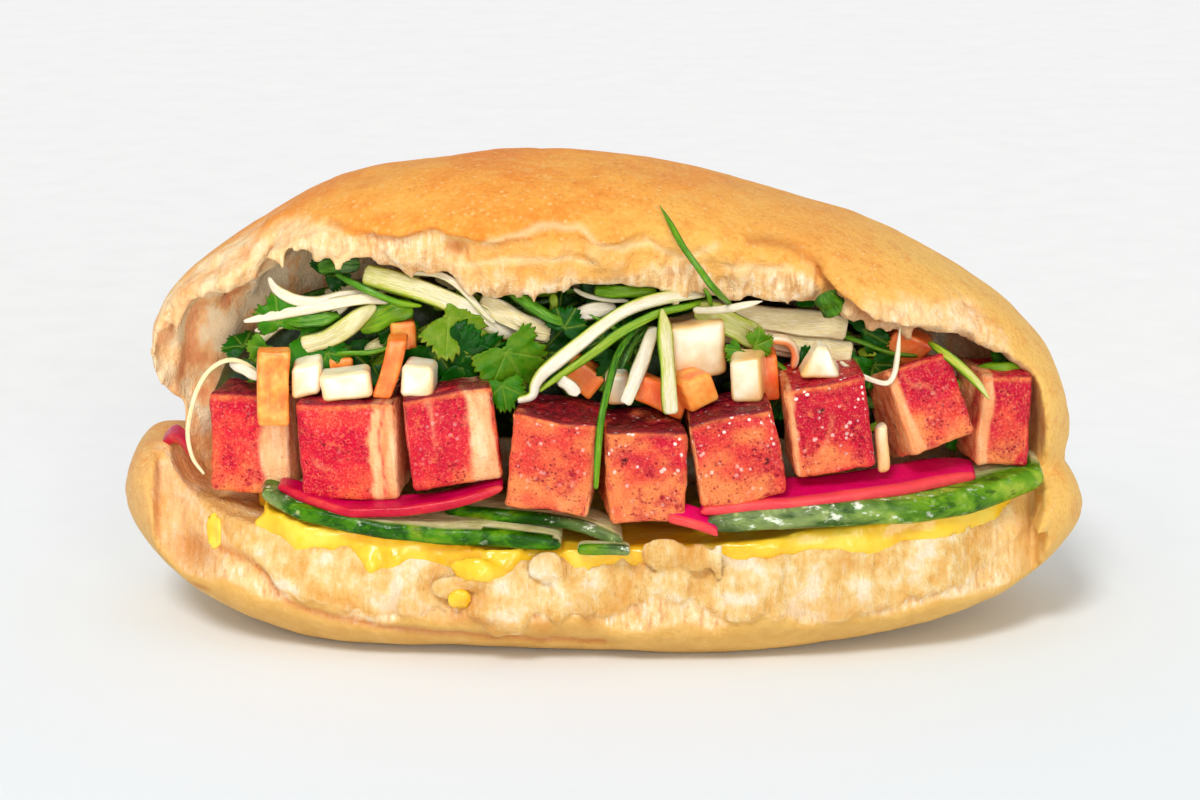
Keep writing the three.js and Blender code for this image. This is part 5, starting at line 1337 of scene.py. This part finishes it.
def ribbon(points, width, g0, g1, roll, twist, cup, t0, t1, seed, thick=0.32, n=None, m=11, rim=0.0):
    line, dist = spline(points, n or max(14, int(len(points) * 8)))
    n = len(line)
    tang = np.gradient(line, axis=0)
    tang /= np.linalg.norm(tang, axis=1, keepdims=True)
    verts, across, alng, green, lines = [], [], [], [], []
    for i in range(n):
        u = i / (n - 1)
        T = tang[i]
        N = VIEW - T * (VIEW @ T)
        if np.linalg.norm(N) < 0.2:
            N = np.array([0, 0, 1.0]) - T * T[2]
        N /= np.linalg.norm(N)
        W = np.cross(T, N)
        ang = math.radians(roll + twist * (2 * u - 1) * 1.2 + 9 * math.sin(7 * u + seed))
        Wr = W * math.cos(ang) + N * math.sin(ang)
        Nr = N * math.cos(ang) - W * math.sin(ang)
        a0 = 1 - t0 * max(0.0, 1 - u / 0.28) ** 1.6
        a1 = 1 - t1 * max(0.0, 1 - (1 - u) / 0.28) ** 1.6
        w = width * a0 * a1 * (1 + 0.06 * math.sin(11 * u + seed * 2.1))
        ends = min(u, 1 - u) * dist[-1]
        w *= min(1.0, 0.72 + ends * 0.6)
        for side in (1, -1):
            for j in range(m):
                v = -1 + 2 * j / (m - 1)
                v = v if side > 0 else -v
                if side < 0 and j in (0, m - 1):
                    continue
                bow = cup * w * 0.20 * (1 - v * v) + 0.035 * width * math.cos(v * 9.5 + seed) * (0.5 + 0.5 * math.sin(5 * u + seed))
                th = thick * 0.5 * math.sqrt(max(0.0, 1 - v ** 4)) * side
                wav = 0.10 * w * math.sin(9 * u + 3 * v + seed)
                p = line[i] + Wr * (v * w / 2) + Nr * (bow + th + wav * 0.5)
                verts.append(p)
                across.append(v)
                alng.append(u)
                green.append(g0 + (g1 - g0) * u + rim * max(0.0, (v - 0.35) / 0.65))
                lines.append((v * width * 0.5, dist[i] * 0.06, seed * 3.7))
    ring = 2 * m - 2
    faces = [tuple(f) for f in grid_faces(n, ring, wrap_v=True)]
    c0 = len(verts)
    verts.append(np.mean(verts[:ring], axis=0))
    verts.append(np.mean(verts[(n - 1) * ring:n * ring], axis=0))
    for j in range(ring):
        faces.append((c0, (j + 1) % ring, j))
        faces.append((c0 + 1, (n - 1) * ring + j, (n - 1) * ring + (j + 1) % ring))
    across += [0, 0]
    alng += [0, 1]
    green += [g0, g1]
    lines += [lines[0], lines[-1]]
    return np.array(verts), faces, dict(across=np.array(across), alng=np.array(alng), green=np.array(green), lines=np.array(lines))


def leaf(x, y, z, size, ang, yaw, pitch, tone, cup, seed):
    """A lobed, toothed leaf: centre near its middle, pointing along ang in the view plane."""
    A, RG = 160, 6
    th = np.linspace(-math.pi, math.pi, A, endpoint=False)
    r_ = np.random.default_rng(500 + seed)
    lobes = [(0.0, 1.0, 0.62), (0.88 + 0.1 * r_.uniform(-1, 1), 0.95, 0.55), (-0.88 + 0.1 * r_.uniform(-1, 1), 0.95, 0.55), (1.70, 0.80, 0.5), (-1.70, 0.80, 0.5)]
    base = np.full(A, 0.52)
    for c_, h_, w_ in lobes:
        d_ = np.abs(np.angle(np.exp(1j * (th - c_))))
        base = np.maximum(base, h_ * np.clip(1.0 - (d_ / w_) ** 3 * 0.42, 0.2, 1) * (d_ < 0.66))
    base = np.where(np.abs(th) > 2.05, np.maximum(0.12, 0.55 - (np.abs(th) - 2.05) * 0.7), base)
    tooth = np.abs(((th * 33 / (2 * math.pi) + 0.5 + 0.3 * r_.uniform()) % 1) - 0.5) * 2
    out = base * (1 - 0.13 * (tooth ** 1.3)) * (1 + 0.02 * r_.standard_normal(A))
    verts, marg, vein, tones = [], [], [], []
    for side in (1, -1):
        for k_ in range(RG + 1):
            f = k_ / RG
            f = 1 - (1 - f) ** 1.35
            for a_, o in zip(th, out):
                if k_ == 0 and a_ != th[0]:
                    continue
                if side < 0 and k_ == RG:
                    continue
                rr = f * o * size * 1.12
                u_, v_ = rr * math.cos(a_), rr * math.sin(a_)
                hgt = -cup * (rr ** 2) / size * 0.6 + 0.25 * cup * abs(v_) + 0.22 * math.sin(2.1 * u_ + seed) * f + 0.28 * math.sin(1.7 * v_ + 2 * seed) * f
                dv = min(abs(np.angle(np.exp(1j * (a_ - c_)))) for c_, _, _ in lobes[:3])
                vv = math.exp(-(dv * rr / 0.22) ** 2) if rr > 0 else 1.0
                hgt -= 0.12 * vv * f
                verts.append((u_, v_, hgt + side * 0.11 * (1 - f ** 6)))
                marg.append(f)
                vein.append(vv)
                tones.append(tone)
    per = 1 + RG * A
    faces = []
    # top
    for j in range(A):
        faces.append((0, 1 + j, 1 + (j + 1) % A))
        for k_ in range(RG - 1):
            p0 = 1 + k_ * A
            faces.append((p0 + j, p0 + A + j, p0 + A + (j + 1) % A, p0 + (j + 1) % A))
    base_i = per
    for j in range(A):
        faces.append((base_i, base_i + 1 + (j + 1) % A, base_i + 1 + j))
        for k_ in range(RG - 2):
            p0 = base_i + 1 + k_ * A
            faces.append((p0 + j, p0 + (j + 1) % A, p0 + A + (j + 1) % A, p0 + A + j))
        p0 = base_i + 1 + (RG - 2) * A
        q0 = 1 + (RG - 1) * A
        faces.append((p0 + j, p0 + (j + 1) % A, q0 + (j + 1) % A, q0 + j))
    v = np.array(verts)
    ca, sa = math.cos(math.radians(ang)), math.sin(math.radians(ang))
    v = np.stack([v[:, 0] * ca - v[:, 1] * sa, v[:, 0] * sa + v[:, 1] * ca, v[:, 2]], 1)
    py, px = math.radians(pitch), math.radians(yaw)
    v = np.stack([v[:, 0] * math.cos(px) + v[:, 2] * math.sin(px), v[:, 1], -v[:, 0] * math.sin(px) + v[:, 2] * math.cos(px)], 1)
    v = np.stack([v[:, 0], v[:, 1] * math.cos(py) - v[:, 2] * math.sin(py), v[:, 1] * math.sin(py) + v[:, 2] * math.cos(py)], 1)
    # view plane: right = +x, up = (0, sinE, cosE), out = VIEW
    up = np.array([0, math.sin(ELEV), math.cos(ELEV)])
    w = np.array([[1, 0, 0]]) * v[:, :1] + up[None] * v[:, 1:2] + VIEW[None] * v[:, 2:3] + np.array([x, y, z])
    return w, faces, dict(marg=np.array(marg), vein=np.array(vein), tone=np.array(tones), local=np.stack([v[:, 0], v[:, 1], v[:, 2] + seed * 5.0], 1))


RIMS = {"white_arc": 0.5, "yellow_strip": 0.3, "pale_band": 0.22, "clear_band": 0.3, "clear_fan_b": 0.15, "right_stem": 0.3, "pale_stick": 0.06}
parts = []
for k, (nm, pts_, w_, g0, g1, roll, tw, cup, t0, t1) in enumerate(STRIPS):
    if nm.startswith("clear"):
        g0, g1 = 0.20, 0.22
    clr = 1.0 if nm.startswith("clear") else 0.8 if nm == "left_end_curl" else 0.0
    parts.append(ribbon(pts_, w_ * 1.18, g0, g1, roll * 0.7, tw * 0.7, cup, t0, t1, k, thick=0.34 if w_ > 1.5 else 0.45, n=max(18, 9 * len(pts_)), rim=RIMS.get(nm, 0.0)))
    parts[-1][2]["clear"] = np.full(len(parts[-1][0]), clr)
# strips lying over the heap behind the ones in front
r_ = np.random.default_rng(77)
for k in range(64):
    s = r_.uniform(-0.93, 0.93)
    x = 0.5 + s * 84.5
    t = float(share(s))
    kk = float(plan(s, 3))
    top = float(along(SALAD["top"], t)) * 1.0
    front = float(along(SALAD["front"], t))
    mid = (top + SALAD["foot"]) / 2
    el = r_.uniform(-0.5, 1.45)
    ln_ = r_.uniform(8, 22)
    an = r_.uniform(-0.9, 0.9)
    pts_ = []
    for q in np.linspace(-1, 1, 4):
        xx = x + q * ln_ / 2 * math.cos(an)
        ee = el + q * ln_ / 2 * math.sin(an) / 15
        ss = np.clip((xx - 0.5) / 84.5, -0.99, 0.99)
        tt = float(share(ss))
        k2 = float(plan(ss, 3))
        tp = float(along(SALAD["top"], tt)) - 1.2
        fr = float(along(SALAD["front"], tt)) + 1.4
        md_ = (tp + SALAD["foot"]) / 2
        yy = fr + (14 * k2 - fr) * (1 - (1 + math.copysign(abs(math.cos(ee)) ** 0.7, math.cos(ee))) / 2)
        zz = md_ + (tp - SALAD["foot"]) / 2 * k2 * math.copysign(abs(math.sin(ee)) ** 0.7, math.sin(ee))
        pts_.append((xx, yy, zz))
    g = r_.choice([0.08, 0.2, 0.6, 0.75, 0.9])
    parts.append(ribbon(pts_, r_.uniform(1.2, 3.0), g, g + r_.uniform(-0.1, 0.1), r_.uniform(-20, 20), r_.uniform(-25, 25), 0.6, 0.4, 0.4, 200 + k, n=20))
    parts[-1][2]["clear"] = np.zeros(len(parts[-1][0]))
v, f, at = join(parts)
strips = mesh_object("scallion_strips", v, f, attrs={k_: at[k_] for k_ in ("across", "alng", "green", "clear")}, colors={"lines": at["lines"]})
salad_pieces.append(strips)
print("strips", len(v), len(f))

parts = []
for k, row in enumerate(LEAVES):
    parts.append(leaf(*row, seed=k))
# leaves lying over the heap, with low tones that are partly painted shade
for k in range(26):
    s = r_.uniform(-0.92, 0.94)
    x = 0.5 + s * 84.5
    t = float(share(s))
    k2 = float(plan(s, 3))
    tp = float(along(SALAD["top"], t)) - 2.0
    fr = float(along(SALAD["front"], t)) + 1.8
    md_ = (tp + SALAD["foot"]) / 2
    ee = r_.uniform(-0.4, 1.4)
    yy = fr + (14 * k2 - fr) * (1 - (1 + math.copysign(abs(math.cos(ee)) ** 0.7, math.cos(ee))) / 2)
    zz = md_ + (tp - SALAD["foot"]) / 2 * k2 * math.copysign(abs(math.sin(ee)) ** 0.7, math.sin(ee))
    parts.append(leaf(x, yy, zz, r_.uniform(4.2, 6.6), r_.uniform(0, 360), r_.uniform(-25, 25), r_.uniform(-30, 30) - 20 * max(0, ee), r_.uniform(0.1, 0.5), 0.4, seed=100 + k))
v, f, at = join(parts)
leaves = mesh_object("coriander_leaves", v, f, attrs={k_: at[k_] for k_ in ("marg", "vein", "tone")}, colors={"loc": at["local"] / 1000})
salad_pieces.append(leaves)
print("leaves", len(v), len(f))

# stems
parts = []
for k, pts_ in enumerate([[(-62, -19, 58), (-55, -21, 60.5), (-47, -21.5, 61), (-40, -20, 63)], [(-33, -22, 62), (-27, -24, 60), (-21, -25.5, 57), (-17, -27, 54)],
                          [(-3, -20, 68.5), (2, -21.5, 66), (6, -22, 62), (8, -23, 58)], [(28, -19, 62), (34, -20, 59), (38, -20, 56), (41, -20, 53)],
                          [(46, -16, 64), (52, -18, 62.5), (58, -18, 60), (64, -17, 59)]]):
    parts.append(ribbon(pts_, 1.1, 0.74, 0.66, 0, 10, 0.9, 0.3, 0.5, 300 + k, thick=0.9, n=26))
v, f, at = join(parts)
stems = mesh_object("herb_stems", v, f, attrs={k_: at[k_] for k_ in ("across", "alng", "green")}, colors={"lines": at["lines"]})
salad_pieces.append(stems)
for ob in salad_pieces:
    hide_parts("herb_salad")

ms = Mat("scallion_strip")
gr = ms.attr("green")
ac = ms.attr("across")
li = ms.attr("lines", True)
fib = ms.noise(li, 3.2, 3.0, 0.6)
fib2 = ms.noise(li, 9.0, 2.0, 0.5)
gshift = ms.math("ADD", gr, ms.math("MULTIPLY", ms.math("SUBTRACT", fib, 0.5), 0.5))
edge_g = ms.math("MULTIPLY", ms.fac(ms.math("ABSOLUTE", ac), 0.55, 1.0), 0.16)
gshift = ms.math("ADD", gshift, edge_g, clamp=True)
sc_c = ms.ramp(gshift, [(0.0, srgb(240, 230, 208)), (0.14, srgb(228, 218, 184)), (0.28, srgb(204, 202, 128)), (0.42, srgb(182, 190, 52)), (0.56, srgb(132, 168, 16)),
                        (0.72, srgb(76, 140, 8)), (0.88, srgb(34, 92, 4)), (1.0, srgb(14, 54, 2))])
pale = ms.math("SUBTRACT", 1.0, ms.fac(gr, 0.2, 0.6))
sc_c = ms.mix(ms.math("MULTIPLY", pale, ms.fac(fib2, 0.50, 0.68, 0.0, 0.5)), sc_c, srgb(254, 250, 232))
sc_c = ms.mix(ms.math("MULTIPLY", pale, ms.fac(fib2, 0.44, 0.28, 0.0, 0.35)), sc_c, srgb(186, 172, 108))
sc_c = ms.mix(ms.math("MULTIPLY", ms.math("SUBTRACT", 1.0, pale), ms.fac(fib2, 0.52, 0.70, 0.0, 0.35)), sc_c, srgb(170, 196, 70))
soft_c = ms.ramp(fib2, [(0.30, srgb(222, 200, 132)), (0.5, srgb(242, 222, 164)), (0.70, srgb(254, 244, 212))])
# paler towards both edges of the translucent strips: painted highlight
soft_c = ms.mix(ms.fac(ms.math("ABSOLUTE", ac), 0.6, 1.0, 0.0, 0.6), soft_c, srgb(254, 244, 214))
sc_c = ms.mix(ms.math("MULTIPLY", ms.attr("clear"), 0.85), sc_c, soft_c)
ms.set("Base Color", sc_c)
ms.set("Roughness", ms.fac(fib, 0.3, 0.7, 0.2, 0.42))
ms.set("Specular IOR Level", 0.25)
ms.set("Coat Weight", 0.04)
ms.set("Coat Roughness", 0.12)
ms.set("Subsurface Weight", 0.25)
ms.set("Subsurface Radius", (0.003, 0.0035, 0.001))
ms.set("Subsurface Scale", 0.4)
ms.set("Normal", ms.bump(fib, 0.35, 0.0005))
give(strips, ms)
give(stems, ms)
ml = Mat("coriander_leaf")
lo = ml.attr("loc", True)
tn = ml.attr("tone")
n1 = ml.noise(lo, 420.0, 3.0, 0.6)
n2 = ml.noise(lo, 1400.0, 3.0, 0.6)
tshift = ml.math("ADD", tn, ml.math("MULTIPLY", ml.math("SUBTRACT", n1, 0.5), 0.35))
tshift = ml.math("ADD", tshift, ml.math("MULTIPLY", ml.fac(ml.attr("marg"), 0.86, 1.0), 0.12), clamp=True)
# tone runs from near-black green, partly painted shade, to pale olive
lc = ml.ramp(tshift, [(0.0, srgb(2, 26, 1)), (0.2, srgb(6, 66, 2)), (0.4, srgb(20, 96, 2)), (0.55, srgb(52, 118, 4)), (0.7, srgb(96, 134, 14)), (0.85, srgb(140, 154, 44)), (1.0, srgb(200, 200, 110))])
lc = ml.mix(ml.math("MULTIPLY", ml.attr("vein"), 0.45), lc, srgb(140, 170, 60))
lc = ml.mix(ml.fac(n2, 0.5, 0.75, 0.0, 0.3), lc, srgb(8, 60, 6))
ml.set("Base Color", lc)
ml.set("Roughness", ml.fac(n1, 0.3, 0.7, 0.3, 0.5))
ml.set("Specular IOR Level", 0.15)
ml.set("Subsurface Weight", 0.08)
ml.set("Subsurface Radius", (0.001, 0.003, 0.0005))
ml.set("Subsurface Scale", 0.3)
ml.set("Normal", ml.bump(ml.math("ADD", n1, ml.math("MULTIPLY", ml.attr("vein"), -0.8)), 0.5, 0.0005))
give(leaves, ml)
